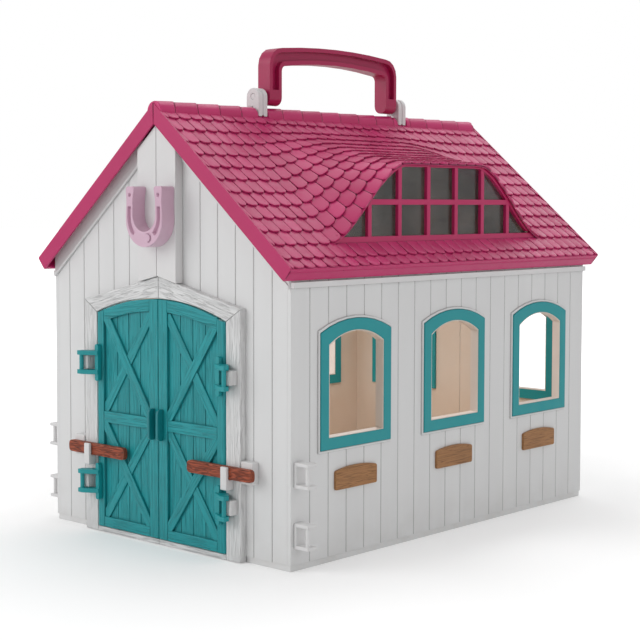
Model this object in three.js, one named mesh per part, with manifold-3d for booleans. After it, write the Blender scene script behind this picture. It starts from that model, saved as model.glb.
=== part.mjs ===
// A toy stable that opens like a carrying case: two half shells, hinged at the back gable, with a tiled
// roof, a dormer, double barn doors, lock bars, a horseshoe clasp and a handle on the ridge.
// Millimetres, +Z up. The origin is in the middle of the footprint, on the floor. The door gable looks
// along -Y, and the halves part at the plane x = 0. Every piece is worked out in the right half (+X);
// the left half's pieces are its mirror images.
import * as THREE from "three";
import { mergeVertices } from "three/addons/utils/BufferGeometryUtils.js";
import Module from "manifold-3d";

const wasm = await Module();
wasm.setup();

// Clearances
const seat_gap = 0.1; // between two pieces that sit on each other
const fit_gap = 0.3; // round a piece that drops into another, and between the two halves
const run_gap = 0.4; // round a piece that moves
const overrun = 1; // how far a cutting solid runs past the face it cuts
const overlap = 0.2; // how far two solids of one piece run into each other

// Shell
const half_width = 100;
const half_length = 142.3;
const wall = 2.4;
const seam_x = fit_gap / 2;
const floor_thickness = 3.4;
const floor_inset = 0.6;
const wall_bottom = floor_thickness + seat_gap;
const groove_width = 0.9;
const groove_depth = 0.5;
const side_boards = 19;
const gable_board = 14;
const gable_grooves = 5;

// Roof
const roof_pitch = THREE.MathUtils.degToRad(40.15);
const eave_z = 162.916;
const eave_overhang = 7.5;
const gable_overhang = 7.7;
const eave_x = half_width + eave_overhang;
const ridge_z = eave_z + eave_x * Math.tan(roof_pitch);
const roof_half_length = half_length + gable_overhang;
const roof_thickness = 2.2;
const rim_depth = 9;
const rim_thickness = 2.2;
const course_count = 13;
const first_course = 10.25; // where the first course ends; the ridge cap hides most of it
const last_course = 5.9;
const course_pitch = (eave_x - last_course - first_course) / (course_count - 2);
const tile_step = 0.9;
const tile_edge_run = 0.3;
const tile_sink = 0.15;
const cap_radius = 6.4;
const cap_rise = 1.5;
const liner_depth = 5.8;
const liner_thickness = 2.2;
const liner_edge_inset = 1.5;
const liner_edge_x = half_width - liner_edge_inset;
const liner_opening_overlap = 1;
const eave_band_proud = 2.2;
const eave_band_bottom = 152.2;
const eave_band_top = 155.2;
const frieze_proud = 0.9;
const frieze_depth = 12.5; // from the roof's plane down to its lower edge, square to the slope
const frieze_inset = 0.5;
const frieze_root = 1; // how far it reaches into the wall
const bead_width = 1.3;
const bead_proud = 1.5;

// Dormer: a swell of the roof that starts near the ridge and ends in an upright window
const swell_start = 12;
const swell_rise = 46.4;
const swell_ease = 1.25;
const swell_flat_half = 35;
const swell_end = 36.3; // from the wall's end to the swell's
const swell_half = half_length - swell_end;
const swell_margin = 1;
const swell_columns = 12;
const hood_inset = 14.3;
const hood_x = eave_x - hood_inset;
const hood_overhang = 1.9;
const dormer_front = hood_x - hood_overhang;
const dormer_depth = 2.5;
const dormer_bottom = 173;
const dormer_sill = 5.2;
const dormer_pane_bottom = dormer_bottom + dormer_sill;
const dormer_band = 2.4;
const dormer_muntin = 3.2;
const dormer_muntin_pitch = 27;
const dormer_muntins = 6;
const dormer_rail_z = 197.8;
const dormer_end = 9; // from the swell's end to the window's
const dormer_half = swell_half - dormer_end;
const dormer_ledge_reach = 2.3;
const dormer_ledge_end = 10; // from the window's end to the ledge's
const dormer_ledge_half = dormer_half - dormer_ledge_end;
const dormer_ledge_drop = 0.4;
const dormer_ledge_height = 2.6;
const dormer_ledge_top = dormer_pane_bottom - dormer_ledge_drop;
const dormer_ledge_bottom = dormer_ledge_top - dormer_ledge_height;
const pane_thickness = 1;
const pane_inset = 1.2;
const apron_gap = 0.7;
const apron_start = hood_x + apron_gap;

// Gable panel
const panel_half = 16.3;
const panel_proud = 5.8;
const panel_gap = 0.4;

// Windows of the side walls
const window_count = 3;
const window_end = 52.1; // from the wall's end to the middle of the last window
const window_pitch = ((half_length - window_end) * 2) / (window_count - 1);
const window_half = 29.7;
const window_bottom = 62.7;
const window_corner = 126.8;
const window_rise = 7;
const window_crown = window_corner + window_rise;
const window_opening_inset = 6.5;
const window_core_inset = 2.4;
const flange_thickness = 1.6;
const border_width = 1.3;
const border_proud = 1;
const arc_steps = 8;

// The back gable has one such window in each half
const back_window_inset = 49; // from the side wall's face to the window's middle
const back_window_x = half_width - back_window_inset;

// Name plates under the windows
const plate_half = 17.5;
const plate_bottom = 39.5;
const plate_height = 12.5;
const plate_thickness = 1.6;
const plate_corner = 2.5;

// Door frame and doors
const doorway_half = 55.3;
const doorway_corner = 132.3;
const doorway_rise = 10.1;
const doorway_crown = doorway_corner + doorway_rise;
const frame_jamb = 11.4;
const frame_shoulder = 7.2;
const frame_head = 12.5;
const frame_proud = 4.5;
const frame_bottom = 0.3;
const frame_half = doorway_half + frame_jamb;
const frame_corner = doorway_corner + frame_shoulder;
const frame_apex = doorway_crown + frame_head;
const panel_bottom = frame_apex + panel_gap;
const sill_height = 2.9;
const sill_top = frame_bottom + sill_height;
const sill_gap = 0.5;
const wall_arch_clearance = 1.6;
const door_corner_gap = 1.1;
const door_half = doorway_half - run_gap;
const door_corner = doorway_corner - door_corner_gap;
const door_crown = doorway_crown - run_gap;
const door_bottom = sill_top + sill_gap;
const door_back = 0.3;
const door_front = 4.9;
const door_relief = 1.7;
const door_seam = 0.25;
const outer_stile = 6.4;
const meeting_stile = 7.4;
const top_rail = 7;
const mid_rail_bottom = 66.6;
const mid_rail_top = 73.2;
const bottom_rail_top = 9.7;
const brace_width = 5.8;
const back_brace_relief = 1.1;
const door_grooves = 3;
const door_groove_first = 7; // from the seam to where the boards are counted from
const door_groove_last = 6.9; // and from the last board to the leaf's edge
const door_groove_pitch = (door_half - door_groove_last - door_groove_first) / (door_grooves + 1);
const door_groove_start = door_groove_first + door_groove_pitch;
const door_groove_width = 0.8;
const door_groove_depth = 0.5;
const pivot_pin_radius = 1;
const pivot_pin_length = 2;
const pull_start = 2.7;
const pull_width = 1.9;
const pull_bottom = 61;
const pull_height = 18.2;
const pull_proud = 4.5;
const pull_corner = 2.6;

// Hinge loops and the clips of the frame between their flanges
const hinge_pin_inset = 5.7; // from the doorway's edge
const hinge_pin_x = doorway_half + hinge_pin_inset;
const hinge_pin_proud = 11.5;
const hinge_pin_radius = 1.3;
const loop_height = 14;
const loop_centres = [30.9, 102.15];
const loop_flange = 2.6;
const loop_reach = 10.7;
const loop_inner_x = hinge_pin_x - loop_reach;
const loop_inner_proud = 8.2;
const loop_outer_margin = 1.9;
const loop_spine_width = 3;
const loop_spine_height = 22;
const loop_spine_depth = 2.6;
const clip_inset = 2.1;
const clip_width = 6.6;
const clip_inner_x = doorway_half + clip_inset;
const clip_outer_x = clip_inner_x + clip_width;

// Lock bars, their hooks and posts
const bar_pivot_margin = 4.9; // outside the door frame
const bar_pivot_x = frame_half + bar_pivot_margin;
const bar_pivot_z = 49.8;
const bar_reach = 44.6;
const bar_tail = 6.7;
const bar_inner_x = bar_pivot_x - bar_reach;
const bar_outer_x = bar_pivot_x + bar_tail;
const bar_height = 7;
const bar_back = 5.2;
const bar_front = 7.9;
const bar_corner = 1.6;
const hook_inset = 0.3;
const hook_width = 6.4;
const hook_inner_x = doorway_half + hook_inset;
const hook_outer_x = hook_inner_x + hook_width;
const hook_strip = 1.9;
const hook_foot = 5.6;
const post_half = 4.4;
const post_drop = 5.4;
const post_rise = 7;
const post_pin_radius = 1.5;

// Fence loops near the front corners
const fence_loop_bottoms = [12.4, 45.2];
const fence_loop_height = 14;
const fence_loop_inset = 2.3;
const fence_loop_front = fence_loop_inset - half_length;
const fence_loop_width = 7;
const fence_loop_reach = 10.5;
const fence_loop_flange = 2.5;
const fence_loop_bar = 2.6;
const fence_loop_root = 1.6;

// Handle, its ears and its pins
const handle_pivot_rise = 7.8;
const handle_pivot_z = ridge_z + handle_pivot_rise;
const handle_half_span = 60.5;
const handle_half_thickness = 5;
const handle_arm = 10.6;
const handle_rise = 32.9;
const handle_sag = 3.7;
const handle_inner_sag = 3.6;
const handle_grip = 10.1;
const handle_crown_z = handle_pivot_z + handle_rise;
const handle_shoulder_z = handle_crown_z - handle_sag;
const handle_inner_crown_z = handle_crown_z - handle_grip;
const handle_inner_shoulder_z = handle_inner_crown_z - handle_inner_sag;
const handle_corner = 11;
const handle_inner_corner = 3.5;
const handle_rim = 2.5;
const handle_recess = 3.2;
const handle_recess_rise = 4.6;
const handle_recess_bottom = handle_pivot_z + handle_recess_rise;
const ear_gap = 2.2;
const ear_start = handle_half_span + ear_gap;
const ear_thickness = 7.6;
const ear_half_width = 5.3;
const ear_groove = 1.2;
const ear_groove_depth = 0.9;
const ear_rise = 5.2;
const ear_top = handle_pivot_z + ear_rise;
const handle_pin_radius = 1.7;
const handle_pin_engagement = 8;

// Horseshoe clasp
const shoe_half = 15.8;
const shoe_inner_half = 8.4;
const shoe_bottom = 172;
const shoe_height = 34.4;
const shoe_top = shoe_bottom + shoe_height;
const shoe_toe = 10.6;
const shoe_thickness = 9.3;
const shoe_prong_corner = 2.4;
const shoe_slot = 2.6;
const shoe_slot_depth = 1.8;
const shoe_slot_drop = 11.4;
const shoe_nail_drop = 4.8;
const shoe_nail_radius = 0.9;
const shoe_pin_x = 3.6;
const shoe_pin_radius = 1.6;
const shoe_pin_head = 0.8;

// Back hinge
const knuckle_radius = 3.4;
const hinge_rod_radius = 1.4;
const hinge_leaf_start = 1;
const hinge_leaf_width = 12;
const hinge_leaf_thickness = 2;
const hinge_leaf_bottom = 25;
const hinge_leaf_top = 210;
const knuckle_length = 14.6;
const right_knuckles = [30, 60, 160, 190];
const left_knuckles = [45, 175];
const knuckle_arm = 4;
const hinge_rod_overhang = 2;

// Places that follow from the sizes above
const front_y = -half_length;
const wall_inner_x = half_width - wall;
const cos_pitch = Math.cos(roof_pitch);
const tan_pitch = Math.tan(roof_pitch);
const roofZ = (x) => ridge_z - x * tan_pitch;
const liner_opening_start = swell_start;
const liner_opening_end = hood_x + liner_opening_overlap;
const liner_opening_half_length = swell_half + liner_opening_overlap;
const liner_bottom_drop = (liner_depth + liner_thickness) / cos_pitch;
const wall_top_drop = liner_bottom_drop + seat_gap;
const clasp_front = panel_proud + seat_gap + shoe_thickness;
// The barrel reaches as far back as the clasp reaches forward, so the footprint's middle is the origin.
const barrel_y = half_length + clasp_front + shoe_pin_head - knuckle_radius;

const material = (color, roughness) => new THREE.MeshStandardMaterial({ color, roughness, metalness: 0 });
const white = () => material(0xe9e9e9, 0.45);
const magenta = () => material(0xc4457a, 0.45);
const teal = () => material(0x3f979b, 0.5);
const brown = () => material(0x9b5a45, 0.6);

// Solids: a closed geometry becomes a manifold solid, and back
function solidOf(geometry) {
  const bare = geometry.clone();
  bare.deleteAttribute("normal");
  bare.deleteAttribute("uv");
  const merged = mergeVertices(bare);
  return new wasm.Manifold(
    new wasm.Mesh({
      numProp: 3,
      vertProperties: new Float32Array(merged.attributes.position.array),
      triVerts: new Uint32Array(merged.index.array),
    }),
  );
}

function geometryOf(solid) {
  const made = solid.getMesh();
  const geometry = new THREE.BufferGeometry();
  geometry.setAttribute("position", new THREE.BufferAttribute(made.vertProperties, 3));
  geometry.setIndex(new THREE.BufferAttribute(made.triVerts, 1));
  return geometry;
}

const sorted = (values) => values.sort((a, b) => a - b);
const join = (...solids) => solids.reduce((whole, solid) => whole.add(solid));
const cut = (solid, ...tools) => tools.reduce((left, tool) => left.subtract(tool), solid);

// An outline pushed along one axis. Its points are [y, z] along "x", [x, z] along "y" and [x, y] along "z".
const FRAMES = {
  x: (p) => [p, (u, v, w) => [w, u, v]],
  y: (p) => [p.map(([x, z]) => [z, x]), (u, v, w) => [v, w, u]],
  z: (p) => [p, (u, v, w) => [u, v, w]],
};

function prism(axis, outline, from, to) {
  const [points, place] = FRAMES[axis](outline);
  const shape = new THREE.Shape(points.map(([u, v]) => new THREE.Vector2(u, v)));
  const geometry = new THREE.ExtrudeGeometry(shape, { depth: to - from, bevelEnabled: false });
  const position = geometry.attributes.position;
  for (let i = 0; i < position.count; i += 1) {
    position.setXYZ(i, ...place(position.getX(i), position.getY(i), position.getZ(i) + from));
  }
  return solidOf(geometry);
}

const box = (x0, x1, y0, y1, z0, z1) =>
  prism("z", [[x0, y0], [x1, y0], [x1, y1], [x0, y1]], z0, z1);

function circle(u, v, radius, sides = 16) {
  return Array.from({ length: sides }, (_, i) => {
    const angle = (2 * Math.PI * (i + 0.5)) / sides;
    return [u + radius * Math.cos(angle), v + radius * Math.sin(angle)];
  });
}

// Points of a round stretch from one angle to another
function arc(u, v, radius, from, to, steps) {
  return Array.from({ length: steps + 1 }, (_, i) => {
    const angle = from + ((to - from) * i) / steps;
    return [u + radius * Math.cos(angle), v + radius * Math.sin(angle)];
  });
}

// A rectangle with round corners
function rounded(u0, u1, v0, v1, radius, steps = 3) {
  const quarter = Math.PI / 2;
  return [
    ...arc(u1 - radius, v0 + radius, radius, -quarter, 0, steps),
    ...arc(u1 - radius, v1 - radius, radius, 0, quarter, steps),
    ...arc(u0 + radius, v1 - radius, radius, quarter, 2 * quarter, steps),
    ...arc(u0 + radius, v0 + radius, radius, 2 * quarter, 3 * quarter, steps),
  ];
}

// The height of a segmental arch at a distance from its middle
function archZ(u, half, corner, crown) {
  const rise = crown - corner;
  const radius = (half * half + rise * rise) / (2 * rise);
  return crown - radius + Math.sqrt(radius * radius - u * u);
}

// An opening with upright sides and a segmental arch on top
function arched(middle, half, bottom, corner, crown) {
  const top = Array.from({ length: arc_steps + 1 }, (_, i) => {
    const u = half - (2 * half * i) / arc_steps;
    return [middle + u, archZ(u, half, corner, crown)];
  });
  return [[middle - half, bottom], [middle + half, bottom], ...top];
}

// The arch's edge from the outer corner to the seam, over half a doorway
function halfArch(start, half, corner, crown) {
  return Array.from({ length: arc_steps + 1 }, (_, i) => {
    const u = half + ((start - half) * i) / arc_steps;
    return [u, archZ(u, half, corner, crown)];
  });
}

// A V-shaped groove up a wall's outer face: the face lies at v = face and looks towards "out"
function boardGroove(place, face, out, width, depth, low, high, along) {
  const half = (width / 2) * (1 + overlap / depth);
  const points = [
    [place - half, face + out * overlap],
    [place + half, face + out * overlap],
    [place, face - out * depth],
  ];
  return prism("z", along === "y" ? points.map(([y, x]) => [x, y]) : points, low, high);
}

const gableGrooves = (face, out) =>
  Array.from({ length: gable_grooves }, (_, i) => {
    const x = panel_half + gable_board * (i + 1);
    return boardGroove(x, face, out, groove_width, groove_depth, 0, ridge_z, "x");
  });

function floorPlate() {
  const edge_y = half_length - floor_inset;
  return box(seam_x, half_width - floor_inset, -edge_y, edge_y, 0, floor_thickness);
}

const windowMiddles = Array.from({ length: window_count }, (_, i) =>
  window_pitch * (i - (window_count - 1) / 2));

function windowOutline(middle, inset) {
  return arched(
    middle,
    window_half - inset,
    window_bottom + inset,
    window_corner - inset,
    window_crown - inset,
  );
}

function sideWall() {
  const top = roofZ(half_width) - wall_top_drop;
  const board = (2 * half_length) / side_boards;
  const grooves = Array.from({ length: side_boards - 1 }, (_, i) =>
    boardGroove(front_y + board * (i + 1), half_width, 1, groove_width, groove_depth, 0, ridge_z, "y"));
  let solid = cut(box(wall_inner_x, half_width, front_y, half_length, wall_bottom, top), ...grooves);
  const band_x = [half_width - overlap, half_width + eave_band_proud];
  solid = join(solid, box(...band_x, front_y, half_length, eave_band_bottom, eave_band_top));
  for (const middle of windowMiddles) {
    const border = cut(
      prism("x", windowOutline(middle, -border_width), half_width - overlap, half_width + border_proud),
      prism("x", windowOutline(middle, -fit_gap), half_width, half_width + border_proud + overrun),
    );
    solid = join(solid, border);
    const hole = windowOutline(middle, window_core_inset - fit_gap);
    solid = cut(solid, prism("x", hole, wall_inner_x - overrun, half_width + overrun));
  }
  return solid;
}

function windowFrame(middle) {
  const outer = half_width + seat_gap;
  const inner = wall_inner_x - seat_gap;
  const whole = join(
    prism("x", windowOutline(middle, 0), outer, outer + flange_thickness),
    prism("x", windowOutline(middle, window_core_inset), inner - overlap, outer + overlap),
    prism("x", windowOutline(middle, 0), inner - flange_thickness, inner),
  );
  const opening = prism(
    "x",
    windowOutline(middle, window_opening_inset),
    inner - flange_thickness - overrun,
    outer + flange_thickness + overrun,
  );
  return cut(whole, opening);
}

function namePlate(middle) {
  const outline = rounded(
    middle - plate_half,
    middle + plate_half,
    plate_bottom,
    plate_bottom + plate_height,
    plate_corner,
  );
  return prism("x", outline, half_width + seat_gap, half_width + seat_gap + plate_thickness);
}

function gableOutline(bottom) {
  const outer = wall_inner_x - seat_gap;
  return [
    [outer, bottom],
    [outer, roofZ(outer) - wall_top_drop],
    [seam_x, roofZ(seam_x) - wall_top_drop],
  ];
}

// The band that runs up under the rake on a gable's face, and the bead along its lower edge. The roof
// rests on the band, whose outer end passes over the side wall's edge.
function frieze(face_y, side) {
  const start = panel_half + frieze_inset;
  const layer = (from, to, end, ...depths) => {
    const outline = [
      [start, roofZ(start) - from],
      [end, roofZ(end) - from],
      [end, roofZ(end) - to],
      [start, roofZ(start) - to],
    ];
    return prism("y", outline, ...sorted(depths.map((depth) => face_y + side * depth)));
  };
  const strip = (from, to, proud) =>
    join(
      layer(from, to, wall_inner_x - seat_gap, proud, -frieze_root),
      layer(from, to, half_width - frieze_inset, proud, seat_gap),
    );
  const top = roof_thickness / cos_pitch + tile_step + seat_gap;
  const low = frieze_depth / cos_pitch;
  const bead_low = (frieze_depth + bead_width) / cos_pitch;
  return join(strip(top, low + overlap, frieze_proud), strip(low, bead_low, bead_proud));
}

// The wall's arch lies above the frame's, out of the way of a leaf that swings inward
function frontWall() {
  const corner = doorway_corner + wall_arch_clearance;
  const doorway = halfArch(seam_x, doorway_half, corner, doorway_crown + wall_arch_clearance);
  const outline = [...gableOutline(wall_bottom), ...doorway.reverse(), [doorway_half, wall_bottom]];
  const boards = cut(prism("y", outline, front_y, front_y + wall), ...gableGrooves(front_y, -1));
  return join(boards, frieze(front_y, -1));
}

function backWall() {
  const outline = [...gableOutline(wall_bottom), [seam_x, wall_bottom]];
  const boards = prism("y", outline, half_length - wall, half_length);
  const border = cut(
    prism("y", windowOutline(back_window_x, -border_width), half_length - overlap, half_length + border_proud),
    prism("y", windowOutline(back_window_x, -fit_gap), half_length, half_length + border_proud + overrun),
  );
  const hole = windowOutline(back_window_x, window_core_inset - fit_gap);
  const opening = prism("y", hole, half_length - wall - overrun, half_length + overrun);
  const face = join(cut(boards, ...gableGrooves(half_length, 1)), border);
  return join(cut(face, opening), frieze(half_length, 1));
}

// The lines across the slope where the tile courses begin and end, each with its lift over the plain roof
function courseLines(from, to) {
  const ends = Array.from({ length: course_count - 1 }, (_, i) => first_course + course_pitch * i);
  const inside = ends.filter((x) => x > from + tile_edge_run && x < to - course_pitch / 2);
  const lines = [{ x: from, lift: -tile_step - tile_sink }];
  for (const x of inside) {
    lines.push({ x, lift: -tile_sink }, { x: x + tile_edge_run, lift: -tile_step - tile_sink });
  }
  lines.push({ x: to, lift: -tile_sink });
  return lines;
}

function swellAcross(y) {
  const t = (Math.abs(y) - swell_flat_half) / (swell_half - swell_flat_half);
  const s = Math.min(Math.max(t, 0), 1);
  return swell_rise * (1 - s * s * (3 - 2 * s));
}

function swell(x, y) {
  const along = Math.max(0, (x - swell_start) / (hood_x - swell_start));
  return swellAcross(y) * along ** swell_ease;
}

// A closed sheet over a grid: its top is worked out at each grid point, and its underside hangs below
function tiledSheet(lines, ys, top) {
  const drop = roof_thickness / cos_pitch;
  const rows = lines.length;
  const columns = ys.length;
  const points = [];
  for (const below of [0, 1]) {
    for (const { x, lift } of lines) {
      for (const y of ys) {
        points.push(x, y, below ? top(x, y) - drop - tile_step : top(x, y) + lift);
      }
    }
  }
  const last = columns - 1;
  const at = (layer, i, j) => layer * rows * columns + i * columns + j;
  const faces = [];
  const quad = (a, b, c, d) => faces.push(a, b, c, a, c, d);
  for (let i = 0; i + 1 < rows; i += 1) {
    for (let j = 0; j + 1 < columns; j += 1) {
      quad(at(0, i, j), at(0, i + 1, j), at(0, i + 1, j + 1), at(0, i, j + 1));
      quad(at(1, i, j), at(1, i, j + 1), at(1, i + 1, j + 1), at(1, i + 1, j));
    }
  }
  for (let i = 0; i + 1 < rows; i += 1) {
    quad(at(0, i, 0), at(1, i, 0), at(1, i + 1, 0), at(0, i + 1, 0));
    quad(at(0, i + 1, last), at(1, i + 1, last), at(1, i, last), at(0, i, last));
  }
  for (let j = 0; j + 1 < columns; j += 1) {
    quad(at(0, 0, j + 1), at(1, 0, j + 1), at(1, 0, j), at(0, 0, j));
    quad(at(0, rows - 1, j), at(1, rows - 1, j), at(1, rows - 1, j + 1), at(0, rows - 1, j + 1));
  }
  const geometry = new THREE.BufferGeometry();
  geometry.setAttribute("position", new THREE.BufferAttribute(new Float32Array(points), 3));
  geometry.setIndex(faces);
  return solidOf(geometry);
}

// The rim's section: as deep as the rim, measured square to the slope, with its eave end cut square too
function rimOutline(start) {
  const drop = rim_depth / cos_pitch;
  return [
    [start, roofZ(start)],
    [eave_x, roofZ(eave_x)],
    [eave_x - rim_depth * Math.sin(roof_pitch), roofZ(eave_x) - rim_depth * cos_pitch],
    [start, roofZ(start) - drop],
  ];
}

function roofShell(withDormer) {
  const plain = (x) => roofZ(x);
  const end = roof_half_length - overlap;
  const whole_slope = courseLines(seam_x, eave_x - overlap);
  const sheets = [];
  if (withDormer) {
    const step = (swell_half - swell_flat_half) / swell_columns;
    const flank = Array.from({ length: swell_columns + 1 }, (_, i) => swell_flat_half + step * i);
    const edge = swell_half + swell_margin;
    const side = [...flank, edge];
    const ys = [...side.map((y) => -y).reverse(), 0, ...side];
    const apron = courseLines(apron_start, eave_x - overlap);
    sheets.push(tiledSheet(courseLines(seam_x, hood_x), ys, (x, y) => roofZ(x) + swell(x, y)));
    sheets.push(tiledSheet(apron, [-edge, edge], plain));
    sheets.push(tiledSheet(whole_slope, [-end, -swell_half], plain));
    sheets.push(tiledSheet(whole_slope, [swell_half, end], plain));
  } else {
    sheets.push(tiledSheet(whole_slope, [-end, end], plain));
  }
  const eave_start = eave_x - rim_thickness / cos_pitch - rim_depth * Math.sin(roof_pitch);
  const eave_rim = cut(
    prism("y", rimOutline(eave_start), -roof_half_length, roof_half_length),
    eaveHollow(eave_start),
  );
  return join(
    ...sheets,
    eave_rim,
    prism("y", rimOutline(seam_x), -roof_half_length, -roof_half_length + rim_thickness),
    prism("y", rimOutline(seam_x), roof_half_length - rim_thickness, roof_half_length),
  );
}

// The space behind the eave's fascia, square to the slope
function eaveHollow(start) {
  const along = [cos_pitch, -Math.sin(roof_pitch)];
  const down = [-Math.sin(roof_pitch), -cos_pitch];
  const corner = [eave_x - rim_thickness * along[0], roofZ(eave_x) - rim_thickness * along[1]];
  const at = (run, depth) => [
    corner[0] + run * along[0] + depth * down[0],
    corner[1] + run * along[1] + depth * down[1],
  ];
  const back = start - eave_x - rim_depth;
  const under = roof_thickness;
  const past = rim_depth + overrun;
  const end = roof_half_length - rim_thickness;
  return prism("y", [at(0, under), at(0, past), at(back, past), at(back, under)], -end, end);
}

// A half-round roll over the ridge
function ridgeCap() {
  const outline = [
    [seam_x, roofZ(seam_x) + seat_gap],
    [cap_radius, roofZ(cap_radius) + seat_gap],
    ...arc(0, ridge_z + cap_rise - cap_radius, cap_radius, 0, Math.PI / 2, 8).slice(0, -1),
    [seam_x, ridge_z + cap_rise],
  ];
  const notches = [-1, 1].map((end) => {
    const near = ear_start - fit_gap;
    const far = ear_start + ear_thickness + fit_gap;
    const ys = sorted([end * near, end * far]);
    const zs = [roofZ(cap_radius) - overrun, ridge_z + cap_rise + overrun];
    return box(0, ear_half_width + fit_gap, ...ys, ...zs);
  });
  return cut(prism("y", outline, -roof_half_length, roof_half_length), ...notches);
}

// The inclined sheet under the tiles. The right one is open under the dormer.
function roofLiner(withDormer) {
  const end = half_length - frieze_root - seat_gap;
  const top = liner_depth / cos_pitch;
  const outline = [
    [seam_x, roofZ(seam_x) - top],
    [liner_edge_x, roofZ(liner_edge_x) - top],
    [liner_edge_x, roofZ(liner_edge_x) - liner_bottom_drop],
    [seam_x, roofZ(seam_x) - liner_bottom_drop],
  ];
  const sheet = prism("y", outline, -end, end);
  if (!withDormer) return sheet;
  const opening = box(
    liner_opening_start,
    liner_opening_end,
    -liner_opening_half_length,
    liner_opening_half_length,
    0,
    ridge_z,
  );
  return cut(sheet, opening);
}

// The dormer's outline under the hood, over half or all of its length, inset by a band
function dormerOutline(bottom, inset) {
  const x = dormer_front - dormer_depth;
  const under = (roof_thickness + tile_step) / cos_pitch + tile_step + seat_gap;
  const half = dormer_half - inset;
  const steps = 2 * (swell_columns + 2);
  const top = Array.from({ length: steps + 1 }, (_, i) => {
    const y = half - (2 * half * i) / steps;
    return [y, roofZ(dormer_front) + swell(x, Math.abs(y) + inset) - under - inset];
  });
  const low = top.map(([y, z]) => [y, Math.max(z, bottom + overrun)]);
  return [[-half, bottom], [half, bottom], ...low];
}

function dormerWindow() {
  const back = dormer_front - dormer_depth;
  const frame = prism("x", dormerOutline(dormer_bottom, 0), back, dormer_front);
  const lights = dormerOutline(dormer_pane_bottom, dormer_band);
  const light = prism("x", lights, back - overrun, dormer_front + overrun);
  const bars = [];
  for (let i = 0; i < dormer_muntins; i += 1) {
    const y = dormer_muntin_pitch * (i - (dormer_muntins - 1) / 2);
    const ys = [y - dormer_muntin / 2, y + dormer_muntin / 2];
    bars.push(box(back, dormer_front, ...ys, dormer_bottom, ridge_z));
  }
  const rail = box(
    back,
    dormer_front,
    -dormer_half,
    dormer_half,
    dormer_rail_z - dormer_muntin / 2,
    dormer_rail_z + dormer_muntin / 2,
  );
  const lattice = join(...bars, rail).intersect(frame);
  const ledge = box(
    dormer_front - overlap,
    dormer_front + dormer_ledge_reach,
    -dormer_ledge_half,
    dormer_ledge_half,
    dormer_ledge_bottom,
    dormer_ledge_top,
  );
  return join(cut(frame, light), lattice, ledge);
}

function dormerPane() {
  const front = dormer_front - dormer_depth - seat_gap;
  return prism("x", dormerOutline(dormer_bottom, pane_inset), front - pane_thickness, front);
}

// Its lower edge runs along the door frame's pitched head
function gablePanel() {
  const drop = rim_depth / cos_pitch + seat_gap + fit_gap;
  const head_slope = (frame_apex - frame_corner) / (frame_half - seam_x);
  const outline = [
    [seam_x, panel_bottom],
    [panel_half, panel_bottom - head_slope * (panel_half - seam_x)],
    [panel_half, roofZ(panel_half) - drop],
    [seam_x, roofZ(seam_x) - drop],
  ];
  return prism("y", outline, front_y - panel_proud, front_y - seat_gap);
}

// The door pivots in the frame, in the middle of the leaf's thickness
const door_mid = (door_back + door_front) / 2;
const door_round = (door_front - door_back) / 2;
const door_axis_x = door_half - door_round;
const pivotSocket = (from, to) =>
  prism("z", circle(door_axis_x, front_y - door_mid, pivot_pin_radius + fit_gap, 12), from, to);

function doorFrame() {
  const doorway = halfArch(seam_x, doorway_half, doorway_corner, doorway_crown);
  const outline = [
    [seam_x, frame_bottom],
    [frame_half, frame_bottom],
    [frame_half, frame_corner],
    [seam_x, frame_apex],
    ...doorway.reverse(),
    [doorway_half, sill_top],
    [seam_x, sill_top],
  ];
  const clips = loop_centres.map((middle) => {
    const reach = loop_height / 2 - loop_flange - fit_gap;
    const ys = [front_y - hinge_pin_proud + hinge_pin_radius + fit_gap, front_y - frame_proud + overlap];
    return box(clip_inner_x, clip_outer_x, ...ys, middle - reach, middle + reach);
  });
  const frame = join(prism("y", outline, front_y - frame_proud, front_y - seat_gap), ...clips);
  const arch = archZ(door_axis_x, doorway_half, doorway_corner, doorway_crown);
  return cut(
    frame,
    pivotSocket(frame_bottom - overrun, sill_top + overrun),
    pivotSocket(arch - overrun, arch + pivot_pin_length + fit_gap),
  );
}

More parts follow.
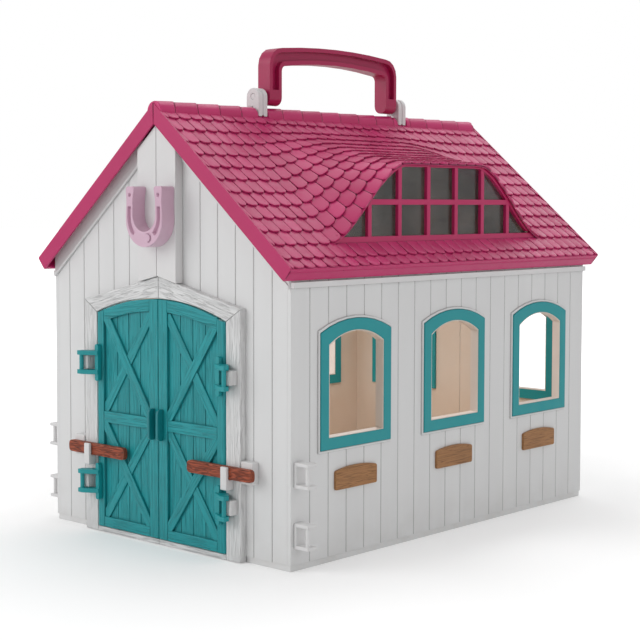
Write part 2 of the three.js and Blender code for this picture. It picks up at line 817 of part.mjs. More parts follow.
// The leaf: a thin board panel with raised stiles, rails and two crosses, and a pin at each end
function doorLeaf() {
  const back = front_y - door_back;
  const face = front_y - door_front + door_relief;
  const front = front_y - door_front;
  const axis_top = archZ(door_axis_x, door_half, door_corner, door_crown);
  const edge = halfArch(door_seam, door_axis_x, axis_top, door_crown);
  const body = [[door_seam, door_bottom], [door_axis_x, door_bottom], ...edge];
  const grooves = Array.from({ length: door_grooves }, (_, i) => {
    const x = door_groove_start + door_groove_pitch * i;
    return boardGroove(x, face, -1, door_groove_width, door_groove_depth, 0, door_crown + overrun, "x");
  });
  const panel = cut(prism("y", body, face, back), ...grooves);
  const full = prism("y", body, front, back);
  const frame_inner = edge.map(([x, z]) => [x, z - top_rail]);
  const left = door_seam + meeting_stile;
  const right = door_half - outer_stile;
  const field = prism(
    "y",
    [[left, bottom_rail_top], [right, bottom_rail_top], ...fieldTop(frame_inner, left, right)],
    front - overrun,
    face,
  );
  const rail_x = [left - overlap, right + overlap];
  const mid_rail = box(...rail_x, front, face + overlap, mid_rail_bottom, mid_rail_top);
  const crown_z = archZ((left + right) / 2, door_half, door_corner, door_crown) - top_rail;
  const braces = [
    [bottom_rail_top, mid_rail_bottom],
    [mid_rail_top, crown_z],
  ].flatMap(([low, high]) => [
    brace(left, low, right, high, door_relief),
    brace(left, high, right, low, back_brace_relief),
  ]);
  const lattice = join(mid_rail, ...braces.map((b) => b.intersect(full)));
  const round = prism(
    "z",
    circle(door_axis_x, front_y - door_mid, door_round, 20),
    door_bottom,
    axis_top - overlap,
  );
  const head = archZ(door_axis_x, doorway_half, doorway_corner, doorway_crown);
  const pin_outline = circle(door_axis_x, front_y - door_mid, pivot_pin_radius, 12);
  const pins = [
    prism("z", pin_outline, door_bottom - pivot_pin_length, door_bottom + overlap),
    prism("z", pin_outline, axis_top - overrun, head + pivot_pin_length),
  ];
  const leaf = join(cut(full, field), panel, lattice, round);
  return join(cut(leaf, cornerCut(front, back)), ...pins);
}

// The leaf's outer top corner is level, so that it stays under the arch as the leaf swings
function cornerCut(front, back) {
  const top = archZ(door_half, doorway_half, doorway_corner, doorway_crown) - fit_gap;
  const inner_x = door_axis_x - door_round - fit_gap;
  return box(inner_x, half_width, front - overrun, back + overrun, top, frame_apex);
}

// The part of an arched edge between two uprights, with its height at each
function fieldTop(points, left, right) {
  const inside = points.filter(([x]) => x > left && x < right);
  const heightAt = (x) => {
    const i = points.findIndex(([u]) => u <= x);
    const [a, b] = [points[Math.max(i - 1, 0)], points[i]];
    return a[1] + ((b[1] - a[1]) * (x - a[0])) / (b[0] - a[0] || 1);
  };
  return [[right, heightAt(right)], ...inside, [left, heightAt(left)]];
}

// One diagonal board on the leaf's face. Of each cross, one board passes behind the other.
function brace(x0, z0, x1, z1, relief) {
  const length = Math.hypot(x1 - x0, z1 - z0);
  const u = [((x1 - x0) / length) * brace_width, ((z1 - z0) / length) * brace_width];
  const half = 1 / 2;
  const corner = (x, z, along, across) => [
    x + along * u[0] - across * u[1],
    z + along * u[1] + across * u[0],
  ];
  const outline = [
    corner(x0, z0, -half, -half),
    corner(x1, z1, half, -half),
    corner(x1, z1, half, half),
    corner(x0, z0, -half, half),
  ];
  const front = front_y - door_front;
  const field = box(
    door_seam + meeting_stile - overlap,
    door_half - outer_stile + overlap,
    front - overrun,
    front_y,
    Math.min(z0, z1) - overlap,
    Math.max(z0, z1) + overlap,
  );
  const face = front + door_relief;
  return prism("y", outline, face - relief, face + overlap).intersect(field);
}

// An upright fin to pull the leaf by, with its front corners rounded
function doorPull() {
  const back = front_y - door_front - seat_gap;
  const front = back - pull_proud;
  const top = pull_bottom + pull_height;
  const quarter = Math.PI / 2;
  const outline = [
    [back, pull_bottom],
    [back, top],
    ...arc(front + pull_corner, top - pull_corner, pull_corner, quarter, 2 * quarter, 4),
    ...arc(front + pull_corner, pull_bottom + pull_corner, pull_corner, 2 * quarter, 3 * quarter, 4),
  ];
  return prism("x", outline, pull_start, pull_start + pull_width);
}

// A loop that carries the upright pin: two flanges from a spine on the stile, out past the clip
function hingeLoop(middle) {
  const low = middle - loop_height / 2;
  const high = middle + loop_height / 2;
  const over_door = door_front + fit_gap;
  const over_frame = frame_proud + seat_gap;
  const outer_x = hinge_pin_x + loop_outer_margin;
  const tip = hinge_pin_proud + loop_outer_margin;
  const at = (x, proud) => [x, front_y - proud];
  const flange_outline = [
    at(loop_inner_x, over_door),
    at(door_half, over_door),
    at(doorway_half, over_frame),
    at(clip_inner_x, over_frame),
    at(outer_x, hinge_pin_proud - loop_outer_margin),
    at(outer_x, tip),
    at(hinge_pin_x - loop_outer_margin, tip),
    at(loop_inner_x, loop_inner_proud),
  ];
  const flange = (z) => prism("z", flange_outline, z, z + loop_flange);
  const pin = prism(
    "z",
    circle(hinge_pin_x, front_y - hinge_pin_proud, hinge_pin_radius, 12),
    low + overlap,
    high - overlap,
  );
  const spine_z = [middle - loop_spine_height / 2, middle + loop_spine_height / 2];
  const spine = prism(
    "y",
    rounded(loop_inner_x, loop_inner_x + loop_spine_width, ...spine_z, loop_spine_width / 2 - overlap),
    front_y - over_door - loop_spine_depth,
    front_y - over_door,
  );
  return join(flange(low), flange(high - loop_flange), pin, spine);
}

function lockBar() {
  const outline = rounded(
    bar_inner_x,
    bar_outer_x,
    bar_pivot_z - bar_height / 2,
    bar_pivot_z + bar_height / 2,
    bar_corner,
  );
  const hole = prism(
    "y",
    circle(bar_pivot_x, bar_pivot_z, post_pin_radius + fit_gap),
    front_y - bar_front - overrun,
    front_y - bar_back + overrun,
  );
  return cut(prism("y", outline, front_y - bar_front, front_y - bar_back), hole);
}

// A hook, open at the top, that the bar drops into: a foot on the frame and a strip in front
function barHook() {
  const bar_low = bar_pivot_z - bar_height / 2;
  const bar_high = bar_pivot_z + bar_height / 2;
  const inner = bar_front + fit_gap;
  const foot_top = bar_low - fit_gap;
  const outline = [
    [front_y - frame_proud - seat_gap, foot_top - hook_foot],
    [front_y - inner - hook_strip, foot_top - hook_foot],
    [front_y - inner - hook_strip, bar_high],
    [front_y - inner, bar_high],
    [front_y - inner, foot_top],
    [front_y - frame_proud - seat_gap, foot_top],
  ];
  return prism("x", outline, hook_inner_x, hook_outer_x);
}

function barPost() {
  const block = box(
    bar_pivot_x - post_half,
    bar_pivot_x + post_half,
    front_y - bar_back + fit_gap,
    front_y - seat_gap,
    bar_pivot_z - post_drop,
    bar_pivot_z + post_rise,
  );
  const pin = prism(
    "y",
    circle(bar_pivot_x, bar_pivot_z, post_pin_radius),
    front_y - bar_front,
    front_y - bar_back + fit_gap + overlap,
  );
  return join(block, pin);
}

function fenceLoop(bottom) {
  const back = fence_loop_front + fence_loop_width;
  const tip = half_width + fence_loop_reach;
  const root = half_width + seat_gap;
  const whole = box(root, tip, fence_loop_front, back, bottom, bottom + fence_loop_height);
  const gap = box(
    root + fence_loop_root,
    tip - fence_loop_bar,
    fence_loop_front - overrun,
    back + overrun,
    bottom + fence_loop_flange,
    bottom + fence_loop_height - fence_loop_flange,
  );
  return cut(whole, gap);
}

// Half of the handle's arched edge in its own plane, from the shoulder to the middle
function handleEdge(half, foot, shoulder, crown, corner) {
  const flat = half - corner;
  const top = Array.from({ length: 7 }, (_, i) => {
    const y = flat - (2 * flat * i) / 6;
    return [y, archZ(y, half, shoulder, crown)];
  });
  const turn_z = archZ(flat, half, shoulder, crown) - corner;
  const turns = arc(flat, turn_z, corner, 0, Math.PI / 2, 4).slice(0, -1);
  const mirrored = turns.map(([y, z]) => [-y, z]).reverse();
  return [[half, foot], ...turns, ...top, ...mirrored, [-half, foot]];
}

function handle() {
  const foot = handle_pivot_z - handle_half_thickness;
  const t = handle_half_thickness;
  const outer = handleEdge(handle_half_span, foot, handle_shoulder_z, handle_crown_z, handle_corner);
  const inner = handleEdge(
    handle_half_span - handle_arm,
    foot,
    handle_inner_shoulder_z,
    handle_inner_crown_z,
    handle_inner_corner,
  );
  const bow = prism("x", [...outer, ...inner.reverse()], -t, t);
  const rounding = prism(
    "y",
    [
      [t, handle_crown_z + overrun],
      [-t, handle_crown_z + overrun],
      ...arc(0, handle_pivot_z, t, Math.PI, 2 * Math.PI, 8),
    ],
    -handle_half_span - overrun,
    handle_half_span + overrun,
  );
  const channel_outer = handleEdge(
    handle_half_span - handle_rim,
    handle_recess_bottom,
    handle_shoulder_z - handle_rim,
    handle_crown_z - handle_rim,
    handle_corner - handle_rim,
  );
  const channel_inner = handleEdge(
    handle_half_span - handle_arm + handle_rim,
    handle_recess_bottom,
    handle_inner_shoulder_z + handle_rim,
    handle_inner_crown_z + handle_rim,
    handle_inner_corner + handle_rim,
  );
  const channel = [...channel_outer, ...channel_inner.reverse()];
  const pin_holes = [-1, 1].map((end) => {
    const mouth = handle_half_span + overrun;
    const ys = [end * (handle_half_span - handle_pin_engagement - fit_gap), end * mouth];
    return prism("y", circle(0, handle_pivot_z, handle_pin_radius + fit_gap), ...sorted(ys));
  });
  return cut(
    bow.intersect(rounding),
    prism("x", channel, t - handle_recess, t + overrun),
    prism("x", channel, -t - overrun, -t + handle_recess),
    ...pin_holes,
  );
}

// A round-topped ear in three layers, with a groove round its middle. Its foot stands on the right roof
// only and passes over the left one with a gap, because the left half swings away.
function handleEar(end) {
  const foot_outline = (inset) => {
    const w = ear_half_width - inset;
    const clear = ridge_z + cap_rise + fit_gap;
    return [
      [0 + fit_gap, roofZ(fit_gap) + seat_gap],
      [w, roofZ(w) + seat_gap],
      ...arc(0, ear_top - inset - w, w, 0, Math.PI, 8),
      [-w, clear],
      [0 + fit_gap, clear],
    ];
  };
  const near = ear_start;
  const far = ear_start + ear_thickness;
  const mid = (near + far) / 2;
  const groove = ear_groove / 2;
  const layer = (a, b, inset) => {
    return prism("y", foot_outline(inset), ...sorted([end * a, end * b]));
  };
  const body = join(
    layer(near, mid - groove, 0),
    layer(mid - groove - overlap, mid + groove + overlap, ear_groove_depth),
    layer(mid + groove, far, 0),
  );
  const ys = sorted([end * (near - overrun), end * (far + overrun)]);
  return cut(body, prism("y", circle(0, handle_pivot_z, handle_pin_radius + seat_gap), ...ys));
}

function handlePin(end) {
  const far = ear_start + ear_thickness - fit_gap;
  const ys = [end * (handle_half_span - handle_pin_engagement), end * far];
  return prism("y", circle(0, handle_pivot_z, handle_pin_radius, 12), ...sorted(ys));
}

// The horseshoe: upright prongs that run into a round toe
function shoeEdge(half, bottom) {
  return arc(0, bottom + half, half, Math.PI, 2 * Math.PI, 14);
}

const shoe_pin_z = shoe_bottom + shoe_toe / 2;
const shoe_back = front_y - panel_proud - seat_gap;

function horseshoe() {
  const inner_bottom = shoe_bottom + shoe_toe;
  const c = shoe_prong_corner;
  const outline = [
    [-shoe_inner_half, shoe_top],
    [-shoe_half + c, shoe_top],
    [-shoe_half, shoe_top - c],
    ...shoeEdge(shoe_half, shoe_bottom),
    [shoe_half, shoe_top - c],
    [shoe_half - c, shoe_top],
    [shoe_inner_half, shoe_top],
    ...shoeEdge(shoe_inner_half, inner_bottom).reverse(),
  ];
  const body = prism("y", outline, shoe_back - shoe_thickness, shoe_back);
  const slots = [-1, 1].map((side) => shoeSlot(side));
  const hole = prism(
    "y",
    circle(shoe_pin_x, shoe_pin_z, shoe_pin_radius + fit_gap),
    shoe_back - shoe_thickness - overrun,
    shoe_back + overrun,
  );
  const nails = [-1, 1].map((side) => {
    const x = (side * (shoe_half + shoe_inner_half)) / 2;
    const nail = circle(x, shoe_top - shoe_nail_drop, shoe_nail_radius, 10);
    const front = shoe_back - shoe_thickness;
    return prism("y", nail, front - overrun, front + shoe_slot_depth);
  });
  return cut(body, ...slots, ...nails, hole);
}

// A shallow slot that follows one prong down into the toe
function shoeSlot(side) {
  const middle = (shoe_half + shoe_inner_half) / 2;
  const centre_z = shoe_bottom + shoe_half;
  const turn = Math.PI / 4;
  const edge = (radius) => [
    [radius, shoe_top - shoe_slot_drop],
    ...arc(0, centre_z, radius, 0, -turn, 4),
  ];
  const band = [...edge(middle + shoe_slot / 2), ...edge(middle - shoe_slot / 2).reverse()];
  const front = shoe_back - shoe_thickness;
  return prism("y", band.map(([x, z]) => [side * x, z]), front - overrun, front + shoe_slot_depth);
}

function claspPin() {
  const front = shoe_back - shoe_thickness;
  const tip = shoe_back + seat_gap - overlap;
  const shank = prism("y", circle(shoe_pin_x, shoe_pin_z, shoe_pin_radius, 12), front - shoe_pin_head, tip);
  const head = prism(
    "y",
    circle(shoe_pin_x, shoe_pin_z, shoe_pin_radius + 2 * fit_gap, 12),
    front - shoe_pin_head,
    front - seat_gap,
  );
  return join(shank, head);
}

// One half of the back hinge: a leaf on the wall, and arms that reach back to its knuckles
function hingeLeaf(knuckles) {
  const leaf_x = [hinge_leaf_start, hinge_leaf_start + hinge_leaf_width];
  const leaf_y = half_length + seat_gap;
  const leaf = box(...leaf_x, leaf_y, leaf_y + hinge_leaf_thickness, hinge_leaf_bottom, hinge_leaf_top);
  const parts = knuckles.flatMap((z) => [
    prism("z", circle(0, barrel_y, knuckle_radius), z, z + knuckle_length),
    prism(
      "z",
      [
        [hinge_leaf_start, leaf_y + overlap],
        [hinge_leaf_start + knuckle_arm, leaf_y + overlap],
        [knuckle_radius - overlap, barrel_y],
        [0, barrel_y],
      ],
      z,
      z + knuckle_length,
    ),
  ]);
  const lowest = Math.min(...knuckles) - overrun;
  const highest = Math.max(...knuckles) + knuckle_length + overrun;
  const bore = prism("z", circle(0, barrel_y, hinge_rod_radius + fit_gap), lowest, highest);
  return cut(join(leaf, ...parts), bore);
}

function hingeRod() {
  const low = Math.min(...right_knuckles) - hinge_rod_overhang;
  const high = Math.max(...right_knuckles) + knuckle_length + hinge_rod_overhang;
  return prism("z", circle(0, barrel_y, hinge_rod_radius, 12), low, high);
}

// The same solid on the other side of the seam, with its faces turned back to point out
function mirrored(solid) {
  const geometry = geometryOf(solid);
  const position = geometry.attributes.position;
  for (let i = 0; i < position.count; i += 1) {
    position.setX(i, -position.getX(i));
  }
  const index = geometry.index.array;
  for (let i = 0; i < index.length; i += 3) {
    [index[i + 1], index[i + 2]] = [index[i + 2], index[i + 1]];
  }
  return geometry;
}

const model = new THREE.Group();

function add(name, geometry, finish) {
  const mesh = new THREE.Mesh(geometry, finish);
  mesh.name = name;
  model.add(mesh);
}

// Every piece that both halves have, each with its finish
const PAIRS = [
  ["floor", floorPlate(), material(0xcdbb9c, 0.6)],
  ["side_wall", sideWall(), white()],
  ["front_wall", frontWall(), white()],
  ["back_wall", backWall(), white()],
  ["ridge_cap", ridgeCap(), magenta()],
  ["gable_panel", gablePanel(), white()],
  ["door_frame", doorFrame(), white()],
  ["door", doorLeaf(), teal()],
  ["door_pull", doorPull(), material(0x1d6f70, 0.5)],
  ["bar_hook", barHook(), white()],
  ["bar_post", barPost(), white()],
  ["lock_bar", lockBar(), brown()],
  ...windowMiddles.map((middle, i) => [`window_frame_${i + 1}`, windowFrame(middle), teal()]),
  ...windowMiddles.map((middle, i) => [`name_plate_${i + 1}`, namePlate(middle), material(0x96734b, 0.6)]),
  ...loop_centres.map((middle, i) => [`hinge_loop_${i + 1}`, hingeLoop(middle), teal()]),
  ...fence_loop_bottoms.map((bottom, i) => [`fence_loop_${i + 1}`, fenceLoop(bottom), white()]),
];

for (const [name, solid, finish] of PAIRS) {
  add(`right_${name}`, geometryOf(solid), finish);
  add(`left_${name}`, mirrored(solid), finish.clone());
}

add("right_roof", geometryOf(roofShell(true)), magenta());
add("left_roof", mirrored(roofShell(false)), magenta());
add("right_roof_liner", geometryOf(roofLiner(true)), white());
add("left_roof_liner", mirrored(roofLiner(false)), white());
add("dormer_window", geometryOf(dormerWindow()), magenta());
add("dormer_pane", geometryOf(dormerPane()), material(0x9a9a9a, 0.1));
add("handle", geometryOf(handle()), magenta());
add("front_handle_ear", geometryOf(handleEar(-1)), white());
add("rear_handle_ear", geometryOf(handleEar(1)), white());
add("front_handle_pin", geometryOf(handlePin(-1)), white());
add("rear_handle_pin", geometryOf(handlePin(1)), white());
add("horseshoe_clasp", geometryOf(horseshoe()), material(0xd9b0ca, 0.5));
add("clasp_pin", geometryOf(claspPin()), material(0xd9b0ca, 0.5));
add("right_hinge_leaf", geometryOf(hingeLeaf(right_knuckles)), white());
add("left_hinge_leaf", mirrored(hingeLeaf(left_knuckles)), white());
add("hinge_rod", geometryOf(hingeRod()), material(0xc0c0c0, 0.35));

export default model;
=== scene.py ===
"""Looks for a toy stable that opens like a carrying case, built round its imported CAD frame.

The left half's pieces mirror those of the right half (+X). Sizes are in millimetres, as in the CAD
model, until a mesh is made.
"""

import math
from functools import partial

import bmesh
import bpy
import numpy as np
from mathutils import Matrix, Vector


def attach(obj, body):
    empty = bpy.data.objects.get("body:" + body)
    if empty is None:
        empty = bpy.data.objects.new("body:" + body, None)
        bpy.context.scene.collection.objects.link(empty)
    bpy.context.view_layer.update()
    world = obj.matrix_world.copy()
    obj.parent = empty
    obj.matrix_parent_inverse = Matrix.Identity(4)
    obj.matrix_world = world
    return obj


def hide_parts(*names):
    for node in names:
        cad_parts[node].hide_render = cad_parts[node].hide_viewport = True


MM = 0.001
RNG = np.random.default_rng(7)
SEAT = 0.1  # the gap under a piece that sits on another
SHARP_ANGLE, ROUNDED_ANGLE = 40, 32  # how far a sharp edge, and one that is rounded, turns at least
ABS_IOR = 1.52
GRAIN_LINES = 7.0

# Roof
PITCH = math.radians(40.15)
TAN, COS, SIN = math.tan(PITCH), math.cos(PITCH), math.sin(PITCH)
RIDGE_Z = 253.6
SEAM_X = 0.15
EAVE_X = 107.5
ROOF_HALF = 150.0
RIM = 1.2  # what shows of the rim beside the tiles
RIM_DEPTH = 9.0
SWELL_START, SWELL_RISE, SWELL_EASE = 12.0, 46.4, 1.25
SWELL_FLAT, SWELL_HALF = 35.0, 106.0
HOOD_X, APRON_X = 93.2, 91.6
SHEET_DROP = 1.5  # from the roof's plane down to the sheet under the tiles
SHEET, HOOD_SHEET = 2.4, 0.5
COURSE_ENDS = np.append(10.25 + 8.3045 * np.arange(12), EAVE_X - 0.4)
HOOD_COURSES = 11  # the courses that end at the hood or above it
TILE_PITCH = 8.88
TILE_GAP = 0.45
TILE_CORNER = 2.8
TILE_HIGH, TILE_LOW = 0.2, 1.45  # a tile's height over the sheet at its upper end and its lower edge
TILE_EDGE, TILE_CROWN = 0.3, 0.12
ROLL_RADIUS, ROLL_Z = 6.2, 248.9
ROLL_PITCH = 17.76
ROLL_BACK = 147.4
EAR_NEAR, EAR_FAR = 62.4, 70.6

# Dormer window
DORMER_FRONT, DORMER_DEPTH = 91.3, 2.5
DORMER_HALF, DORMER_BOTTOM, DORMER_SILL = 97.0, 173.0, 178.2
DORMER_BAND = 1.2
UPRIGHTS, UPRIGHT_PITCH, UPRIGHT_HALF = 6, 27.0, 1.6
RAIL_LOW, RAIL_HIGH = 196.2, 199.4

# Gable front
FRONT = 142.3
SHOE_BACK, SHOE_DEPTH = 148.2, 9.3
SHOE_TOP, SHOE_OUTER, SHOE_INNER = 206.4, (15.5, 187.5), (9.6, 190.4)  # half widths, heights of centres
SHOE_PIN = (3.6, 177.3)
DOORWAY = (55.3, 132.3, 142.4)
LEAF = (54.9, 131.2, 142.0)
LEAF_AXIS = 52.6
FRAME_HALF, FRAME_CORNER, FRAME_APEX = 66.7, 139.5, 154.9
LOOP_BLOCKS = (30.9, 102.15)  # the middles of the blocks that the hinge loops clip on

# Side walls
WINDOW_MIDDLES = (-90.2, 0.0, 90.2)
BACK_WINDOW = 51.0  # from the seam to the middle of the back gable's window
SIDE = 100.0
INNER_X, INNER_Y = 97.72, 140.05  # a little outside the inner faces of the walls
FLOOR_TOP = 3.35  # a little under the top of the floor
WINDOW_HALF, WINDOW_BOTTOM = 29.7, 62.7
WINDOW_CORNER, WINDOW_CROWN = 126.8, 133.8
OPENING = 6.5  # how far the opening lies inside a window frame's outline
PLATE_HALF, PLATE_BOTTOM, PLATE_CORNER, PLATE_CROWN = 17.5, 39.5, 50.1, 51.95
FENCE_LOOPS = (12.4, 45.2)  # their lower ends


# Materials
def linear(code):
    """A colour written as sRGB hex, as the linear colour that shaders take."""
    share = np.array([int(code[i : i + 2], 16) for i in (1, 3, 5)]) / 255
    curved = np.where(share <= 0.04045, share / 12.92, ((share + 0.055) / 1.055) ** 2.4)
    return (*curved.tolist(), 1.0)


def node(tree, kind, inputs, **settings):
    """Adds one node with its settings and links. An input takes a number, a colour in sRGB hex, another
    node's output, or a node for its first output."""
    made = tree.nodes.new("ShaderNode" + kind)
    for key, value in settings.items():
        setattr(made, key, value)
    for key, value in inputs.items():
        if isinstance(value, bpy.types.Node):
            value = value.outputs[0]
        if isinstance(value, bpy.types.NodeSocket):
            tree.links.new(value, made.inputs[key])
        else:
            made.inputs[key].default_value = linear(value) if isinstance(value, str) else value
    return made


def fresh_nodes(owner):
    """Clears the node tree of a material or the world, and returns the function that adds nodes to it."""
    owner.use_nodes = True
    owner.node_tree.nodes.clear()
    return partial(node, owner.node_tree)


def surface(name, build, kind="BsdfPrincipled", grain=False):
    """A material. Build adds its nodes and returns its shader's inputs, from the place of each point in
    the object, or in the grain of its board."""
    material = bpy.data.materials.new(name)
    add = fresh_nodes(material)
    if grain:
        place = add("Attribute", {}, attribute_name="grain").outputs["Vector"]
    else:
        place = add("TexCoord", {}).outputs["Object"]
    shader = add(kind, build(add, place))
    add("OutputMaterial", {"Surface": shader})
    return material


def between(add, value, low, high, to_low, to_high):
    """A value carried from one range to another and held there."""
    inputs = {"Value": value, "From Min": low, "From Max": high, "To Min": to_low, "To Max": to_high}
    return add("MapRange", inputs, clamp=True)


def mixed(add, share, first, second):
    """The first colour where the share is 0 and the second where it is 1."""
    return add("Mix", {0: share, 6: first, 7: second}, data_type="RGBA").outputs[2]


def drift(add, place, size, low, high, amount):
    """Soft clouds, size millimetres across: nothing below low and amount above high."""
    cloud = add("TexNoise", {"Vector": place, "Scale": 1 / (size * MM), "Detail": 3.0})
    return between(add, cloud, low, high, 0.0, amount)


def streaked(add, place, scale, detail=3.0):
    """Clouds drawn out along the axes. The scale says how many of them fit in a metre along each."""
    drawn = add("Mapping", {"Vector": place, "Scale": scale})
    return add("TexNoise", {"Vector": drawn, "Scale": 1.0, "Detail": detail})


def carved(add, place, across, along, width):
    """Wood grain, 1 on the wood and 0 in a line, and the drawn-out place it is cut from. A line runs
    wherever the height of clouds, across by along millimetres, times GRAIN_LINES passes a whole number."""
    size = (1 / (along * MM), 1 / (across * MM), 1 / (across * MM))
    drawn = add("Mapping", {"Vector": place, "Scale": size})
    cloud = add("TexNoise", {"Vector": drawn, "Scale": 1.0, "Detail": 2.5, "Distortion": 0.5})
    raised = add("Math", {0: cloud, 1: GRAIN_LINES}, operation="MULTIPLY")
    folded = add("Math", {0: raised, 1: 0.5}, operation="PINGPONG")
    return between(add, folded, 0.0, width, 0.0, 1.0), drawn


def crease_shaded(add, color, reach, painted_shade, amount):
    """A colour with painted shade in its creases: darker where a spot sees little of what lies within its
    reach.
    """
    crease = add("AmbientOcclusion", {"Distance": reach * MM}, samples=6, only_local=True)
    return mixed(add, between(add, crease.outputs["AO"], 0.35, 0.95, amount, 0.0), color, painted_shade)


def paled_rims(add, place, size, high, color, paler):
    """A colour, and a paler one in patches along the rims: wear on boards, and a painted highlight on
    tiles.
    """
    edge = add("Attribute", {}, attribute_name="edge").outputs["Fac"]
    patches = drift(add, place, size, 0.4, high, 0.3)
    return mixed(add, add("Math", {0: edge, 1: patches}, operation="MULTIPLY"), color, paler)


def moulded_abs(name, face, shade, rough, coat=0.0):
    """ABS, injection moulded in a satin tool: an even colour that drifts a little, a fine orange peel and
    a soft, uneven gloss."""

    def build(add, place):
        color = mixed(add, drift(add, place, 38, 0.35, 0.75, 0.4), face, shade)
        gloss = drift(add, place, 11, 0.3, 0.7, 1.0)
        # The peel of such a tool is about 0.3 mm; it is drawn at 1.1 mm, the finest that shows.
        peel = add("TexNoise", {"Vector": place, "Scale": 1 / (1.1 * MM), "Detail": 2.0})
        bump = add("Bump", {"Height": peel, "Distance": 0.00003, "Strength": 0.6})
        return {
            "Base Color": color,
            "Roughness": between(add, gloss, 0.0, 1.0, rough - 0.05, rough + 0.07),
            "IOR": ABS_IOR,
            "Coat Weight": coat,
            "Coat Roughness": 0.2,
            "Normal": bump,
        }

    return surface("moulded_abs_" + name, build)


def grained_abs(name, face, line, paler, across, along, depth, width, ink, rough=0.45):
    """ABS, injection moulded in a tool cut with wood grain: dark lines that run with each board, fine
    fibres between them, corners rubbed a little paler, and painted shade in the creases."""

    def build(add, place):
        wood, drawn = carved(add, place, across, along, width)
        fibres = add("TexNoise", {"Vector": drawn, "Scale": 4.0, "Detail": 3.0})
        toned = mixed(add, drift(add, place, 30, 0.35, 0.75, 0.22), face, line)
        inked = mixed(add, between(add, wood, 0.0, 1.0, ink, 0.0), toned, line)
        fine = add("Bump", {"Height": fibres, "Distance": depth * 0.22 * MM, "Strength": 0.7})
        bump = {"Height": wood, "Distance": depth * MM, "Strength": 0.9, "Normal": fine}
        worn = paled_rims(add, place, 3, 0.65, inked, paler)
        return {
            # Painted shade in the creases, darker where little light could reach.
            "Base Color": crease_shaded(add, worn, 1.6, line, 0.55),
            "Roughness": between(add, fibres, 0.3, 0.7, rough - 0.06, rough + 0.1),
            "IOR": ABS_IOR,
            "Normal": add("Bump", bump),
        }

    return surface(name, build, grain=True)


def wall_abs(add, place):
    """ABS, moulded as boards: white outside, each board with a tone of its own, faint fibres up it,
    patches a little darker low down and painted shade in the grooves, and cream inside."""
    far = add("VectorMath", {0: place}, operation="ABSOLUTE")
    far = add("SeparateXYZ", {0: far}).outputs
    inside_x = add("Math", {0: far["X"], 1: INNER_X * MM}, operation="LESS_THAN")
    inside_y = add("Math", {0: far["Y"], 1: INNER_Y * MM}, operation="LESS_THAN")
    inside = add("Math", {0: inside_x, 1: inside_y}, operation="MULTIPLY")
    # The boards are 14 and 15 mm wide.
    tone = streaked(add, place, (66.0, 66.0, 3.0), 1.0)
    white = mixed(add, between(add, tone, 0.3, 0.7, 0.0, 0.3), "#dfdfdf", "#d4d4d5")
    low = between(add, far["Z"], 0.0, 0.03, 0.9, 0.0)
    # The walls go a little darker, in patches, towards their foot.
    low_patches = add("Math", {0: low, 1: drift(add, place, 16, 0.35, 0.7, 0.25)}, operation="MULTIPLY")
    patched_and_shaded = mixed(add, low_patches, white, "#b4b0aa")
    # Painted shade in the grooves between the boards, darker where little light could reach.
    patched_and_shaded = crease_shaded(add, patched_and_shaded, 0.9, "#8a8684", 0.7)
    cream = mixed(add, drift(add, place, 38, 0.35, 0.75, 0.5), "#e2d2c3", "#d8c1ab")
    # Fibres 0.7 mm wide and 35 mm long.
    fibres = streaked(add, place, (1400.0, 1400.0, 28.0))
    bump = add("Bump", {"Height": fibres, "Distance": 0.00002, "Strength": 0.5})
    return {
        "Base Color": mixed(add, inside, patched_and_shaded, cream),
        "Roughness": between(add, fibres, 0.3, 0.7, 0.4, 0.52),
        "IOR": ABS_IOR,
        "Normal": bump,
    }


def tile_abs(add, place):
    """ABS, moulded as tiles: each tile has its own tone, its rim is painted paler as a highlight, painted
    shade fills the joints and creases, and a soft gloss breaks up over a slate-like face."""
    tone = add("Attribute", {}, attribute_name="tone").outputs["Fac"]
    face = mixed(add, between(add, tone, 0.0, 1.0, 0.0, 1.0), "#bb1b61", "#cd2a70")
    face = mixed(add, drift(add, place, 33, 0.35, 0.75, 0.35), face, "#ac1855")
    # Painted shade: where the tone is below 0, on the sheet under the joints and on the skirts under the
    # tiles, the face goes dark.
    face = mixed(add, between(add, tone, 0.0, -1.0, 0.0, 1.0), face, "#540c2c")
    # Painted shade in the creases.
    face = crease_shaded(add, face, 1.5, "#6a1038", 0.5)
    gloss = drift(add, place, 7, 0.3, 0.7, 1.0)
    # Slate-like streaks 4 mm long and 1.1 mm apart, down the slope.
    slate = streaked(add, place, (260.0, 900.0, 260.0))
    return {
        # The rims are painted paler, as a highlight.
        "Base Color": paled_rims(add, place, 2.4, 0.7, face, "#e27aa6"),
        "Roughness": between(add, gloss, 0.0, 1.0, 0.31, 0.43),
        "IOR": ABS_IOR,
        "Normal": add("Bump", {"Height": slate, "Distance": 0.00006, "Strength": 0.5}),
    }


def shade_tinted_polystyrene(add, place):
    """Polystyrene, moulded thin: its grey, in lighter and darker clouds, is painted shade and reflection,
    and flow streaks haze it a little and bend what is behind it.
    """
    streaks = streaked(add, place, (40.0, 30.0, 140.0))
    shade_clouds = drift(add, place, 55, 0.35, 0.65, 1.0)
    return {
        # Painted shade and reflection: a grey tint in lighter and darker clouds.
        "Base Color": mixed(add, shade_clouds, "#5c6163", "#989d9f"),
        "Transmission Weight": 0.92,
        "IOR": 1.59,
        "Roughness": between(add, streaks, 0.35, 0.7, 0.06, 0.24),
        "Normal": add("Bump", {"Height": streaks, "Distance": 0.0001, "Strength": 0.3}),
    }


